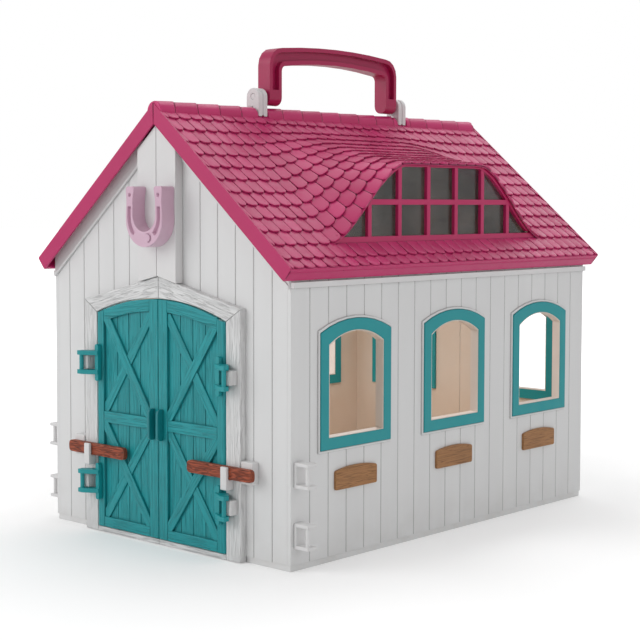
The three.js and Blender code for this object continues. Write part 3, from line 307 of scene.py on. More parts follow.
def floor_abs(add, place):
    """ABS, moulded as a plinth: white round its edge, and on top, between the walls, a tan board floor."""
    height = add("SeparateXYZ", {0: place}).outputs["Z"]
    top = add("Math", {0: height, 1: FLOOR_TOP * MM}, operation="GREATER_THAN")
    turned = add("Mapping", {"Vector": place, "Rotation": (0.0, 0.0, math.pi / 2)})
    wood = carved(add, turned, 6.0, 85.0, 0.1)[0]
    tan = mixed(add, between(add, wood, 0.0, 1.0, 0.35, 0.0), "#cfae8c", "#a8835f")
    white = mixed(add, drift(add, place, 12, 0.35, 0.7, 0.3), "#e0e0e0", "#c8c5c0")
    return {
        "Base Color": mixed(add, top, white, tan),
        "Roughness": drift(add, place, 9, 0.0, 1.0, 0.98),
        "IOR": ABS_IOR,
        "Normal": add("Bump", {"Height": wood, "Distance": 0.0001, "Strength": 0.6}),
    }


def drawn_steel(add, place):
    """Steel wire, drawn: rings of fine scratches round it, drawn 0.25 mm apart so that they show."""
    rings = streaked(add, place, (60.0, 60.0, 4000.0), 2.0)
    return {
        "Base Color": "#cfcfd1",
        "Metallic": 1.0,
        "Roughness": between(add, rings, 0.3, 0.7, 0.22, 0.4),
        "Normal": add("Bump", {"Height": rings, "Distance": 0.00001, "Strength": 0.5}),
    }


FINISHES = {
    "tiles": surface("moulded_abs_roof_tiles", tile_abs),
    "wall": surface("moulded_abs_wall_boards", wall_abs),
    "floor": surface("moulded_abs_floor", floor_abs),
    "pane": surface("shade_tinted_polystyrene_pane", shade_tinted_polystyrene),
    "rod": surface("drawn_steel_rod", drawn_steel),
    "handle": moulded_abs("magenta_handle", "#ab1852", "#990f45", 0.36),
    "dormer": moulded_abs("magenta_dormer", "#bf2161", "#ae1854", 0.38),
    "white": moulded_abs("white", "#dfdede", "#d3d2d2", 0.42),
    "cream": moulded_abs("cream", "#e6d9cf", "#dac9bc", 0.42),
    "teal": moulded_abs("teal", "#0c979c", "#08878d", 0.42),
    "window": moulded_abs("window_teal", "#0a949a", "#06868d", 0.42),
    "pull": moulded_abs("dark_teal", "#0a8086", "#077279", 0.36),
    "clasp": moulded_abs("pearl_pink", "#d6b3c6", "#c89eb5", 0.34, 0.2),
    # Boards and plates: colours of face, lines and rubbed edges, then the grain's size across, along and
    # deep in millimetres, the lines' width and ink, and the roughness.
    "trim": grained_abs(
        "grained_abs_white_boards", "#e2e2e2", "#b3b1b0", "#f0f0ef", 1.5, 50, 0.3, 0.12, 0.16
    ),
    "door": grained_abs(
        "grained_abs_teal_boards", "#06979d", "#055c62", "#4db4b9", 1.9, 70, 0.2, 0.12, 0.4
    ),
    "bar": grained_abs(
        "grained_abs_brown_boards", "#ad5030", "#47150a", "#c98463", 1.3, 24, 0.35, 0.26, 0.95, 0.55
    ),
    "plate": grained_abs(
        "printed_abs_oak_plates", "#a97645", "#65401f", "#b98f60", 1.4, 42, 0.02, 0.26, 0.8, 0.46
    ),
}


# Surfaces
def grid_quads(rows, columns):
    """The quads of a grid whose rows run along +X and columns along +Y, facing up."""
    at = np.arange(rows * columns).reshape(rows, columns)
    return np.stack([at[:-1, :-1], at[1:, :-1], at[1:, 1:], at[:-1, 1:]], -1).reshape(-1, 4)


def grid_border(rows, columns):
    """The points round such a grid, from its first corner along +X and back to that corner."""
    at = np.arange(rows * columns).reshape(rows, columns)
    return np.concatenate([at[:, 0], at[-1, 1:], at[-2::-1, -1], at[0, -2::-1]])


def strip(upper, lower):
    """The quads between a line of points and the line under it."""
    return np.stack([upper[:-1], lower[:-1], lower[1:], upper[1:]], -1)


def tube_quads(rows, count, closed=False):
    """The quads between rings of count points. A closed tube's last ring joins its first."""
    at = np.arange(rows * count).reshape(rows, count)
    ahead = np.roll(at, -1, 1)
    quads = np.stack([at, ahead, np.roll(ahead, -1, 0), np.roll(at, -1, 0)], -1)
    return (quads if closed else quads[:-1]).reshape(-1, 4)


def placed(flat, depth, side):
    """Points of a drawing (u, v) at a distance from the middle of the stable, seen from a side of it."""
    depth = np.broadcast_to(depth, flat.shape[:-1])
    u, v = flat[..., 0], flat[..., 1]
    points = {"front": (u, -depth, v), "back": (-u, depth, v), "side": (depth, u, v), "top": (u, v, depth)}
    return np.stack(points[side], -1)


def oblong(u0, u1, v0, v1):
    """The corners of a rectangle, anticlockwise."""
    return [(u0, v0), (u1, v0), (u1, v1), (u0, v1)]


def anticlockwise(outline):
    """An outline turned, if need be, to run anticlockwise: twice its area is the sum of u v' - u' v."""
    outline = np.asarray(outline, float)
    u, v = outline.T
    area = (u * np.roll(v, -1) - np.roll(u, -1) * v).sum()
    return outline if area > 0 else outline[::-1]


def moved_in(outline, distances):
    """An outline once for each distance, with its sides moved inwards by it. A corner moves along the
    sum of its sides' inward normals, stretched until both sides are that far away."""
    ahead = np.roll(outline, -1, 0) - outline
    ahead = ahead / np.linalg.norm(ahead, axis=1, keepdims=True)
    after = np.stack([-ahead[:, 1], ahead[:, 0]], 1)
    before = np.roll(after, 1, 0)
    corner = (after + before) / (1 + (after * before).sum(1, keepdims=True))
    return outline + distances[:, None, None] * corner


def softened(outline, radius, steps=4):
    """An outline with round corners: a curve runs from radius before each corner to radius after it and
    bends towards the corner. Each corner may have its own radius, in anticlockwise order."""
    outline = anticlockwise(outline)
    radius = np.reshape(radius, (-1, 1))
    before = np.roll(outline, 1, 0) - outline
    after = np.roll(outline, -1, 0) - outline
    long_before = np.linalg.norm(before, axis=1, keepdims=True)
    long_after = np.linalg.norm(after, axis=1, keepdims=True)
    reach = np.minimum(radius, 0.49 * np.minimum(long_before, long_after))
    start = outline + before / long_before * reach
    end = outline + after / long_after * reach
    t = np.linspace(0, 1, steps + 1)[None, :, None]
    curve = (1 - t) ** 2 * start[:, None] + 2 * t * (1 - t) * outline[:, None] + t * t * end[:, None]
    return curve.reshape(-1, 2)


def quarter_round(edge):
    """How far an edge's rings move inwards and back: edge (1 - cos t) and edge (1 - sin t)."""
    turn = np.linspace(0, math.pi / 2, 4)
    return edge * (1 - np.cos(turn)), edge * (1 - np.sin(turn))


# The values of each point: how many numbers each has, and Blender's names for their kind.
NUMBER = (1, "FLOAT", "value")
LAYERS = {"grain": (3, "FLOAT_VECTOR", "vector"), "tone": NUMBER, "edge": NUMBER}


class Moulding:
    """Surfaces collected in millimetres, with the grain, tone and rim of each point. A tone below 0 is
    painted dark as shade, and a rim is worn paler on boards and painted paler as a highlight on tiles.
    """

    def __init__(self):
        self.points, self.faces, self.count = [], [], 0
        self.values = {layer: [] for layer in LAYERS}

    def add(self, points, faces, **values):
        """Adds points and groups of faces over them. A value is given for each point or for all."""
        points = np.asarray(points, float).reshape(-1, 3)
        self.points.append(points)
        self.faces += [np.asarray(group) + self.count for group in faces]
        for layer, (size, _, _) in LAYERS.items():
            value = np.asarray(values.get(layer, 0.0), float)
            value = value.reshape(-1, size) if value.size > 1 else value
            self.values[layer].append(np.broadcast_to(value, (len(points), size)))
        self.count += len(points)
        return self

    def reflected(self, axis=0):
        """The same surfaces on the other side of the middle, still facing outwards."""
        other = Moulding()
        sign = np.where(np.arange(3) == axis, -1.0, 1.0)
        other.points = [points * sign for points in self.points]
        other.faces = [group[:, ::-1] for group in self.faces]
        other.values, other.count = self.values, self.count
        return other

    def joined(self, other):
        """Adds the surfaces of another moulding."""
        self.points += other.points
        for layer, rows in other.values.items():
            self.values[layer] += rows
        self.faces += [group + self.count for group in other.faces]
        self.count += other.count
        return self

    def tube(self, flat, depth, side, closed=False, **values):
        """Rings of a drawing at their depths, with a flat cap at each end unless the tube is closed."""
        rows, count = flat.shape[:2]
        faces = [tube_quads(rows, count, closed)]
        if not closed:
            last = np.arange(count)[None]
            faces += [last[:, ::-1], last + (rows - 1) * count]
        return self.add(placed(flat, depth, side), faces, **values)

    def board(self, outline, back, front, edge, side="front", along=(0.0, 1.0)):
        """A board: its outline stands from back to front, and a quarter round is carried round its
        front edge. Its grain runs along a direction of the drawing."""
        outline = anticlockwise(outline)
        inward, down = quarter_round(edge)
        inward = np.append(0.0, inward)
        depth = np.append(back, front - down)[:, None]
        flat = moved_in(outline, inward)
        u = np.array(along) / math.hypot(*along)
        across = np.array([-u[1], u[0]])
        # Each board is cut from another place within 400 mm of the wood.
        shift = RNG.random(2) * 400
        deep = np.broadcast_to(depth, flat.shape[:2])
        grain = np.stack([flat @ u + shift[0], flat @ across + shift[1], deep], -1)
        rim = np.zeros(flat.shape[:2])
        rim[2:-1] = 1.0
        return self.tube(flat, depth, side, grain=grain * MM, edge=rim)

    def piece(self, name, finish, body, slot, replaces=()):
        """The finished piece: its mesh in metres, its finish, and what carries it."""
        mesh = bpy.data.meshes.new(name)
        faces = [face for group in self.faces for face in group.tolist()]
        mesh.from_pydata((np.concatenate(self.points) * MM).tolist(), [], faces)
        for layer, (_, kind, key) in LAYERS.items():
            data = np.concatenate(self.values[layer]).astype(np.float32)
            mesh.attributes.new(layer, kind, "POINT").data.foreach_set(key, data.ravel())
        return settle(added(name, mesh), finish, body, replaces)


def added(name, data):
    """An object in the scene that shows a mesh, a lamp or a camera."""
    made = bpy.data.objects.new(name, data)
    bpy.context.scene.collection.objects.link(made)
    return made


def finished(mesh, finish):
    """Gives a mesh one finish in place of any others."""
    mesh.materials.clear()
    mesh.materials.append(FINISHES[finish])


def bake(made):
    """Turns an object's modifiers into its mesh."""
    bpy.context.view_layer.update()
    graph = bpy.context.evaluated_depsgraph_get()
    mesh = bpy.data.meshes.new_from_object(made.evaluated_get(graph))
    made.modifiers.clear()
    made.data = mesh


def settle(made, finish, body, replaces=()):
    """Smooths a piece except over its sharp edges, gives it its material and ties it to the frame."""
    made.data.shade_smooth()
    made.data.set_sharp_from_angle(angle=math.radians(SHARP_ANGLE))
    made.modifiers.new("normals", "WEIGHTED_NORMAL").keep_sharp = True
    bake(made)
    finished(made.data, finish)
    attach(made, body)
    if replaces:
        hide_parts(*replaces)
    return made


def rounded_copy(name, width, finish, body, segments=2):
    """A CAD node's own shape, with its points merged and its sharp edges rounded."""
    work = bmesh.new()
    work.from_mesh(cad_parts[name].data)
    bmesh.ops.remove_doubles(work, verts=work.verts, dist=2e-6)
    bmesh.ops.dissolve_limit(work, angle_limit=math.radians(1.0), verts=work.verts, edges=work.edges)
    mesh = bpy.data.meshes.new(name + "_moulded")
    work.to_mesh(mesh)
    work.free()
    made = added(name + "_moulded", mesh)
    bevel = made.modifiers.new("edges", "BEVEL")
    bevel.width = width * MM
    bevel.segments = segments
    bevel.limit_method = "ANGLE"
    bevel.angle_limit = math.radians(ROUNDED_ANGLE)
    bevel.miter_outer = "MITER_ARC"
    bake(made)
    return settle(made, finish, body, [name])


def arch_z(u, half, corner, crown):
    """The height of a round arch at u, from the circle through both corners and the crown."""
    rise = crown - corner
    radius = (half * half + rise * rise) / (2 * rise)
    return crown - radius + np.sqrt(np.maximum(radius * radius - u * u, 0.0))


# Roof
def plane_z(x):
    """The roof's plane: the ridge, less x times the tangent of the pitch."""
    return RIDGE_Z - np.abs(x) * TAN


def roof_z(x, y, swollen):
    """The plane, and where swollen is 1 the dormer's swell over it: a smooth bell across, which is flat
    in the middle, times a share of the way down the slope to the power of SWELL_EASE."""
    t = np.clip((np.abs(y) - SWELL_FLAT) / (SWELL_HALF - SWELL_FLAT), 0, 1)
    down = np.clip((x - SWELL_START) / (HOOD_X - SWELL_START), 0, None)
    return plane_z(x) + swollen * SWELL_RISE * (1 - t * t * (3 - 2 * t)) * down**SWELL_EASE


def lifted(x, y, height, swollen):
    """Points at a height over the roof, along its normal, which comes from the slopes along x and y."""
    step = 0.2
    dx = (roof_z(x + step, y, swollen) - roof_z(x - step, y, swollen)) / (2 * step)
    dy = (roof_z(x, y + step, swollen) - roof_z(x, y - step, swollen)) / (2 * step)
    share = height / np.sqrt(dx * dx + dy * dy + 1)
    return np.stack([x - dx * share, y - dy * share, roof_z(x, y, swollen) + share], -1)


def tiles(form, columns):
    """Many tiles at once, each a grid over u, down the slope, and w, from -1 to 1 across it.

    Over its last TILE_CORNER a tile narrows along a quarter circle. Its height rises evenly with u, with
    a crown of 1 - w * w and a small tilt of its own. A skirt runs from its rim down into the sheet.
    """
    x0, x1, y0, y1, swollen = columns[..., None, None]
    turn = np.sin(np.radians([[0], [30], [55], [75], [90]]))
    share = TILE_CORNER * COS / (x1 - x0)
    u = np.concatenate([(1 - share) * [[0], [0.5]], 1 - share + share * turn], 1)
    w = np.array([-1.0, -0.88, 0.0, 0.88, 1.0])
    half = (y1 - y0 - TILE_GAP) / 2
    pull = np.minimum(TILE_CORNER, 0.9 * half)
    narrow = half - pull * np.concatenate([[[0], [0]], 1 - np.sqrt(1 - turn**2)])
    x = x0 + u * (x1 - x0) + 0 * w
    y = (y0 + y1) / 2 + w * narrow
    tilt = RNG.normal(0, [0.05, 0.07, 0.07], (len(x0), 3))[:, :, None, None]
    height = TILE_HIGH + (TILE_LOW - TILE_HIGH) * u + TILE_CROWN * (1 - w * w)
    height = height + np.minimum(tilt[:, 0], 0.05) + tilt[:, 1] * w + tilt[:, 2] * (u - 0.5)
    rim = np.zeros(x.shape[1:], bool)
    rim[:, [0, -1]] = True
    rim[-1] = True
    height = height - TILE_EDGE * rim
    height[:, -2, 1:-1] -= 0.1  # the face already falls a little before the rim
    top = lifted(x, y, height - SHEET_DROP * COS, swollen)
    low = lifted(x, y, np.full(x.shape, -SHEET_DROP * COS - 0.25), swollen)
    count, rows, columns = x.shape
    ring = grid_border(rows, columns)[: 2 * rows + columns - 2]  # its upper end has no skirt
    points = np.concatenate([top.reshape(count, -1, 3), low.reshape(count, -1, 3)[:, ring]], 1)
    under = rows * columns + np.arange(len(ring))
    faces = np.concatenate([grid_quads(rows, columns), strip(ring, under)])
    faces = faces[None] + (np.arange(count) * points.shape[1])[:, None, None]
    edge = np.concatenate([rim.ravel().astype(float), np.zeros(len(ring))])
    tone = np.repeat(RNG.random((count, 1)), points.shape[1], 1)
    # The skirts get a tone of -1, which the finish paints dark as shade under the tiles.
    tone[:, rows * columns :] = -1.0
    form.add(points, [faces.reshape(-1, 4)], tone=tone, edge=np.tile(edge, count))


def sheet(form, xs, ys, swollen, thickness=SHEET):
    """The sheet under the tiles: one grid over another, joined round their rims."""
    x, y = np.meshgrid(xs, ys, indexing="ij")
    rows, columns = x.shape
    top = lifted(x, y, 0.0 * x, swollen) - [0, 0, SHEET_DROP]
    ring = grid_border(rows, columns)
    quads, under = grid_quads(rows, columns), rows * columns
    faces = [quads, quads[:, ::-1] + under, strip(ring, ring + under)]
    # The sheet's top is painted dark, as shade under the tiles' joints; its underside and the lip along
    # its lower rim keep a tile tone.
    tone = np.full((2, rows, columns), -0.7)
    tone[:, -1] = tone[1] = 0.3
    form.add(np.stack([top, top - [0, 0, thickness]]), faces, tone=tone)


def course(row, first, last, swollen):
    """The tiles of one course as columns of x0, x1, y0, y1 and swollen. Its joints lie half a tile
    further along than those of the course above it."""
    inner = ROOF_HALF - RIM
    joints = TILE_PITCH * (np.arange(-18, 19) + (0.0 if row % 2 else 0.5))
    joints = joints[np.abs(joints) < inner - 1.5]
    joints = np.concatenate([[-inner - TILE_GAP / 2], joints, [inner + TILE_GAP / 2]])
    y0, y1 = joints[:-1], joints[1:]
    upper = np.full(len(y0), first)
    if swollen is None:
        upper = np.where(np.abs(y0 + y1) / 2 < SWELL_HALF, np.maximum(first, APRON_X), first)
    ones = np.ones(len(y0))
    return np.stack([upper, ones * last, y0, y1, ones * (swollen or 0.0)])


def roof(dormer):
    """The tiles, the sheet under them, the rake boards and the fascia of one slope."""
    form = Moulding()
    rows = []
    for row, last in enumerate(COURSE_ENDS):
        first = COURSE_ENDS[row - 1] - 0.8 if row else 1.6
        if dormer and row < HOOD_COURSES:
            rows.append(course(row, first, min(last, HOOD_X), 1.0))
        else:
            rows.append(course(row, first, last, None if dormer else 0.0))
    tiles(form, np.concatenate(rows, 1))
    inner, margin, last = ROOF_HALF - RIM, SWELL_HALF + 1, EAVE_X - 1.6
    edge = inner + 0.1
    if dormer:
        xs = np.append(SEAM_X, np.linspace(4, HOOD_X - 0.5, 40))
        ys = np.concatenate([[-edge], np.linspace(-margin, margin, 90), [edge]])
        sheet(form, xs, ys, 1.0, HOOD_SHEET)
        sheet(form, [APRON_X - 0.2, last], [-margin, margin], 0.0)
        sheet(form, [HOOD_X - 1, last], [margin - 0.5, edge], 0.0)
        sheet(form, [HOOD_X - 1, last], [-edge, 0.5 - margin], 0.0)
    else:
        sheet(form, [SEAM_X, last], [-edge, edge], 0.0)
    low = (EAVE_X - RIM_DEPTH * SIN, plane_z(EAVE_X) - RIM_DEPTH * COS)
    high = (EAVE_X, plane_z(EAVE_X))
    rake = [(0.05, RIDGE_Z - RIM_DEPTH / COS), low, high, (0.05, RIDGE_Z)]
    rims = Moulding().board(softened(rake, [0.02, 1.8, 1.2, 0.02]), inner, ROOF_HALF, 0.25)
    form.joined(rims).joined(rims.reflected(1))
    # The fascia's top lies under the last tiles.
    down = np.array([SIN, COS])
    start = np.array([EAVE_X - 2.2 * COS, plane_z(EAVE_X) + 2.2 * SIN])
    top = np.array(high) - 0.55 * down
    section = softened([start - 1.2 * down, start - RIM_DEPTH * down, low, top], 0.5)
    ends = np.array([0.3 - ROOF_HALF, ROOF_HALF - 0.3])
    return form.tube(np.stack([section, section]), ends[:, None], "front", tone=0.45)


def ridge_roll():
    """Half of the round roll over the ridge: a ring at each y, whose radius depends on the angle too.

    The radius loses a groove at each joint, a bell of the distance to it, and thins towards the front
    between joints. The joints bow back by a power of the angle's cosine, and an end falls along a
    quarter circle.
    """
    form = Moulding()
    angle = np.linspace(math.pi / 2, 0, 15)
    groove, groove_half, thinning, rounding, gap = 0.7, 0.4, 0.5, 0.8, 0.4
    front = (0.5 - ROOF_HALF, -EAR_FAR - gap)
    for low, high in (front, (gap - EAR_NEAR, EAR_NEAR - gap), (EAR_FAR + gap, ROLL_BACK)):
        y = [[high, high - 0.15, high - 0.4], np.arange(high - rounding, low + rounding, -0.4)]
        y = np.concatenate([*y, [low + rounding, low + 0.4, low + 0.15, low]])[:, None]
        joint = 3.8 + 3.2 * np.cos(angle) ** 4
        away = (y - joint) % ROLL_PITCH
        near = np.minimum(away, ROLL_PITCH - away)
        end = np.clip(np.minimum(y - low, high - y), 0, rounding) / rounding
        radius = ROLL_RADIUS - groove * np.exp(-((near / groove_half) ** 2))
        radius = radius - thinning * (1 - away / ROLL_PITCH)
        radius = radius - rounding * (1 - np.sqrt(1 - (1 - end) ** 2))
        x = np.maximum(radius * np.sin(angle), SEAM_X)
        ring = np.stack([x, ROLL_Z + radius * np.cos(angle)], -1)
        foot = np.array([[SEAM_X, RIDGE_Z - 1.5], [ROLL_RADIUS - 0.3, plane_z(ROLL_RADIUS) - 0.9]])
        flat = np.concatenate([np.broadcast_to(foot, (len(y), 2, 2)), ring], 1)
        # The grooves at the joints are painted dark, as shade.
        tone = np.where(near < 0.42, -1.0, 0.35 + 0.5 * ((y - joint) // ROLL_PITCH % 2))
        tone = np.concatenate([np.zeros((len(y), 2)), tone], 1)
        form.tube(flat, -y, "front", tone=tone)
    return form


# Dormer window
def dormer_top(y, inset):
    """The height under the hood at y, less a band's width."""
    return roof_z(DORMER_FRONT, np.abs(y) + inset, 1.0) - SHEET_DROP - HOOD_SHEET - 0.05 - inset


def dormer_outline(bottom, inset):
    """The window's outline: level at the bottom, and under the hood's curve on top."""
    y = np.linspace(DORMER_HALF - inset, inset - DORMER_HALF, 81)
    top = np.stack([y, np.maximum(dormer_top(y, inset), bottom + 1)], 1)
    return np.concatenate([[[top[-1, 0], bottom], [top[0, 0], bottom]], top])


def dormer_window():
    """A band round the window, a sill, six uprights and a rail."""
    form = Moulding()
    back, front = DORMER_FRONT - DORMER_DEPTH, DORMER_FRONT
    outer, inner = dormer_outline(DORMER_BOTTOM, 0.0), dormer_outline(DORMER_SILL, DORMER_BAND)
    inward, down = quarter_round(0.35)
    near, far = moved_in(outer, inward), moved_in(inner, -inward)
    rings = np.concatenate([outer[None], near, far[::-1], inner[None]])
    depth = np.concatenate([[back], front - down, (front - down)[::-1], [back]])
    form.tube(rings, depth[:, None], "side", closed=True)
    tuck, slant = 0.8, 2.6  # how far a bar runs into the band, and how far the rail's ends lean
    for y in UPRIGHT_PITCH * (np.arange(UPRIGHTS) - (UPRIGHTS - 1) / 2):
        across = y + np.array([UPRIGHT_HALF, 0.0, -UPRIGHT_HALF])
        foot = [(across[2], DORMER_SILL - tuck), (across[0], DORMER_SILL - tuck)]
        head = dormer_top(across, DORMER_BAND) + tuck
        form.board([*foot, *zip(across, head)], back + 0.1, front - 0.15, 0.3, "side")
    y = np.linspace(0, DORMER_HALF, 400)
    reach = y[dormer_top(y, DORMER_BAND) > RAIL_LOW + 0.3].max() + tuck
    rail = [(-reach, RAIL_LOW), (reach, RAIL_LOW), (reach - slant, RAIL_HIGH), (slant - reach, RAIL_HIGH)]
    return form.board(rail, back + 0.1, front - 0.22, 0.3, "side")


def dormer_pane():
    """The pane behind the bars, as high as the window."""
    front, thickness = DORMER_FRONT - DORMER_DEPTH - 0.1, 1.0
    outline = dormer_outline(DORMER_SILL - 2.0, 0.5)
    return Moulding().board(outline, front - thickness, front, 0.1, "side")


# Doors and their frame
def clipped(outline, limits):
    """An outline cut by half planes (a, b, c), where a * u + b * v <= c stays."""
    for a, b, c in limits:
        cut = []
        for start, end in zip(outline, outline[1:] + outline[:1]):
            d0, d1 = (a * p[0] + b * p[1] - c for p in (start, end))
            if d0 <= 0:
                cut.append(start)
            if d0 * d1 < 0:
                t = d0 / (d0 - d1)
                cut.append((start[0] + t * (end[0] - start[0]), start[1] + t * (end[1] - start[1])))
        outline = cut
    return outline


def under_arch(x0, x1, low, drop=0.0):
    """A board between two uprights, whose top follows the leaf's arch."""
    x = np.linspace(x1, x0, 9)
    return [(x0, low), (x1, low), *zip(x.tolist(), (arch_z(x, *LEAF) - drop).tolist())]


def door():
    """A leaf: a backing, four sunk boards, stiles and rails on top, and a cross in each of its two
    fields, one board of which passes behind the other."""
    form = Moulding()
    face, top, back = FRONT + 3.2, FRONT + 4.9, FRONT + 0.3
    seam, inner, outer, edge = 0.25, 7.65, 48.5, LEAF[0]
    bottom, rail_top, lock_low, lock_high, head_depth = 3.7, 9.7, 66.6, 73.2, 7.0
    joint = 0.12  # between a stile and the rails
    form.board(under_arch(seam + 0.4, LEAF_AXIS, bottom + 0.4, 0.6), back, face - 0.7, 0.15)
    boards = [inner - 0.4, 17.25, 27.5, 37.75, outer + 0.4]
    for x0, x1 in zip(boards, boards[1:]):
        form.board(under_arch(x0 + 0.16, x1 - 0.16, bottom + 3, 3.0), face - 1.2, face, 0.32)
    form.board(under_arch(seam, inner - joint, bottom), back + 0.2, top, 0.4)
    # The hinge stile is round on its outer edge, so that it turns in the jamb. Its top follows the leaf's
    # arch, and is level near that edge.
    plan = softened(oblong(outer + joint, edge, -top, -back), [0.4, 4.0, 4.0, 0.4], 6)
    level = plan[:, 0] >= 49.9
    crest = np.where(level, arch_z(edge, *DOORWAY) - 0.3, arch_z(plan[:, 0], *LEAF) - 0.1)
    height = np.stack([np.full(len(plan), bottom), crest])
    flat = np.broadcast_to(plan, (2, *plan.shape))
    grain = np.stack([height, flat[..., 0], flat[..., 1]], -1) * MM
    form.tube(flat, height, "top", grain=grain)
    head = under_arch(inner, outer, bottom)[2:]
    rails = [([*head, *((x, z - head_depth) for x, z in head[::-1])], -0.12)]
    for low, high in ((bottom, rail_top), (lock_low, lock_high)):
        rails.append((oblong(inner, outer, low, high), 0.0))
    for outline, lean in rails:
        form.board(outline, back + 0.4, top - 0.05, 0.35, along=(1.0, lean))
    crown = float(arch_z((inner + outer) / 2, *LEAF)) - head_depth
    for low, high, under_head in ((rail_top, lock_low, 0.0), (lock_high, crown, 1.8)):
        for z0, z1, sunk in ((low, high, 0.2), (high, low, 0.75)):
            brace(form, (inner, z0), (outer, z1), top - sunk, low, high + under_head)
    return form


def brace(form, start, end, front, low, high):
    """A diagonal board, cut off where the stiles and rails begin."""
    run = np.subtract(end, start)
    u = run / np.linalg.norm(run)
    half_width, spare = 2.9, 0.2
    n = np.array([-u[1], u[0]]) * half_width
    ends = [start - 3 * u + n, start - 3 * u - n, end + 3 * u - n, end + 3 * u + n]
    limits = [(-1.0, 0.0, spare - start[0]), (1.0, 0.0, end[0] + spare)]
    limits += [(0.0, -1.0, spare - low), (0.0, 1.0, high + spare)]
    outline = clipped([tuple(p.tolist()) for p in ends], limits)
    form.board(outline, FRONT + 2.8, front, 0.35, along=tuple(u.tolist()))


def door_frame():
    """The jamb, the pitched head and the sill round the doorway, their outer edges hewn in soft waves,
    and the blocks that the hinge loops clip on."""
    form = Moulding()
    half, corner = DOORWAY[:2]
    back, front, foot = FRONT + SEAT, FRONT + 4.5, 0.3
    z = np.linspace(foot, FRAME_CORNER - 0.15, 40)
    x = FRAME_HALF - 0.25 - 0.25 * np.sin(z * 0.31) * np.sin(z * 0.083 + 1)
    form.board([(half, corner - 0.15), (half, foot), *zip(x, z)], back, front, 0.5)
    slope = (FRAME_APEX - FRAME_CORNER) / (SEAM_X - FRAME_HALF)
    x = np.linspace(FRAME_HALF, SEAM_X, 26)
    z = FRAME_CORNER + 0.05 + slope * (x - FRAME_HALF) + 0.22 * np.sin(x * 0.42) * np.sin(x * 0.13)
    arch = np.linspace(SEAM_X, half, 15)
    arch = list(zip(arch, arch_z(arch, *DOORWAY) + 0.02))
    form.board(list(zip(x, z)) + arch, back, front, 0.5, along=(1.0, slope))
    form.board(oblong(SEAM_X, half - 0.05, foot, 3.2), back, front, 0.4, along=(1.0, 0.0))
    for middle in LOOP_BLOCKS:
        block = softened(oblong(57.4, 64.0, middle - 4.1, middle + 4.1), 0.5)
        form.board(block, front - 0.6, FRONT + 9.9, 0.5)
    return form


def lock_bar():
    """The bar: a board with round ends and deep grain."""
    outline = softened(oblong(27.0, 78.3, 46.3, 53.3), 2.6)
    return Moulding().board(outline, FRONT + 5.2, FRONT + 8.0, 0.55, along=(1.0, 0.02))


def bar_post():
    """The block behind the bar's outer end."""
    outline = softened(oblong(67.2, 76.0, 44.4, 56.8), 0.8)
    return Moulding().board(outline, FRONT + SEAT, FRONT + 4.9, 0.5)


def bar_hook():
    """The hook: a strip bent like a J, from its foot on the frame round under the bar and up in front."""
    back, inner, front = -FRONT - 4.6, -FRONT - 8.2, -FRONT - 10.1
    low, foot_top, tip = 40.4, 46.0, 53.3
    near, far = 56.4, 61.2  # its sides
    section = [(back, low), (back, foot_top), (inner, foot_top), (inner, tip), (front, tip), (front, low)]
    section = softened(section, 0.8)
    inward, down = quarter_round(0.4)
    x = np.append(near + down[::-1], far - down)
    flat = moved_in(section, np.append(inward[::-1], inward))
    return Moulding().tube(flat, x[:, None], "side")


def shoe_edge(half, centre, swell):
    """One edge of the shoe from heel to heel: upright, then half a circle, then upright again. The
    upright parts swell by a bell of the height, under a heel that is rounded."""
    z = np.append(SHOE_TOP - np.array([0.0, 0.1, 0.4]), np.linspace(SHOE_TOP - 0.9, centre, 36))
    high, size, reach = swell
    x = half + size * np.exp(-(((z - high) / reach) ** 2))
    turn = np.linspace(math.pi, 2 * math.pi, 74)[1:-1]
    arc = np.stack([half * np.cos(turn), centre + half * np.sin(turn)], 1)
    left, right = np.stack([-x, z], 1), np.stack([x, z], 1)[::-1]
    return np.concatenate([left, arc, right])


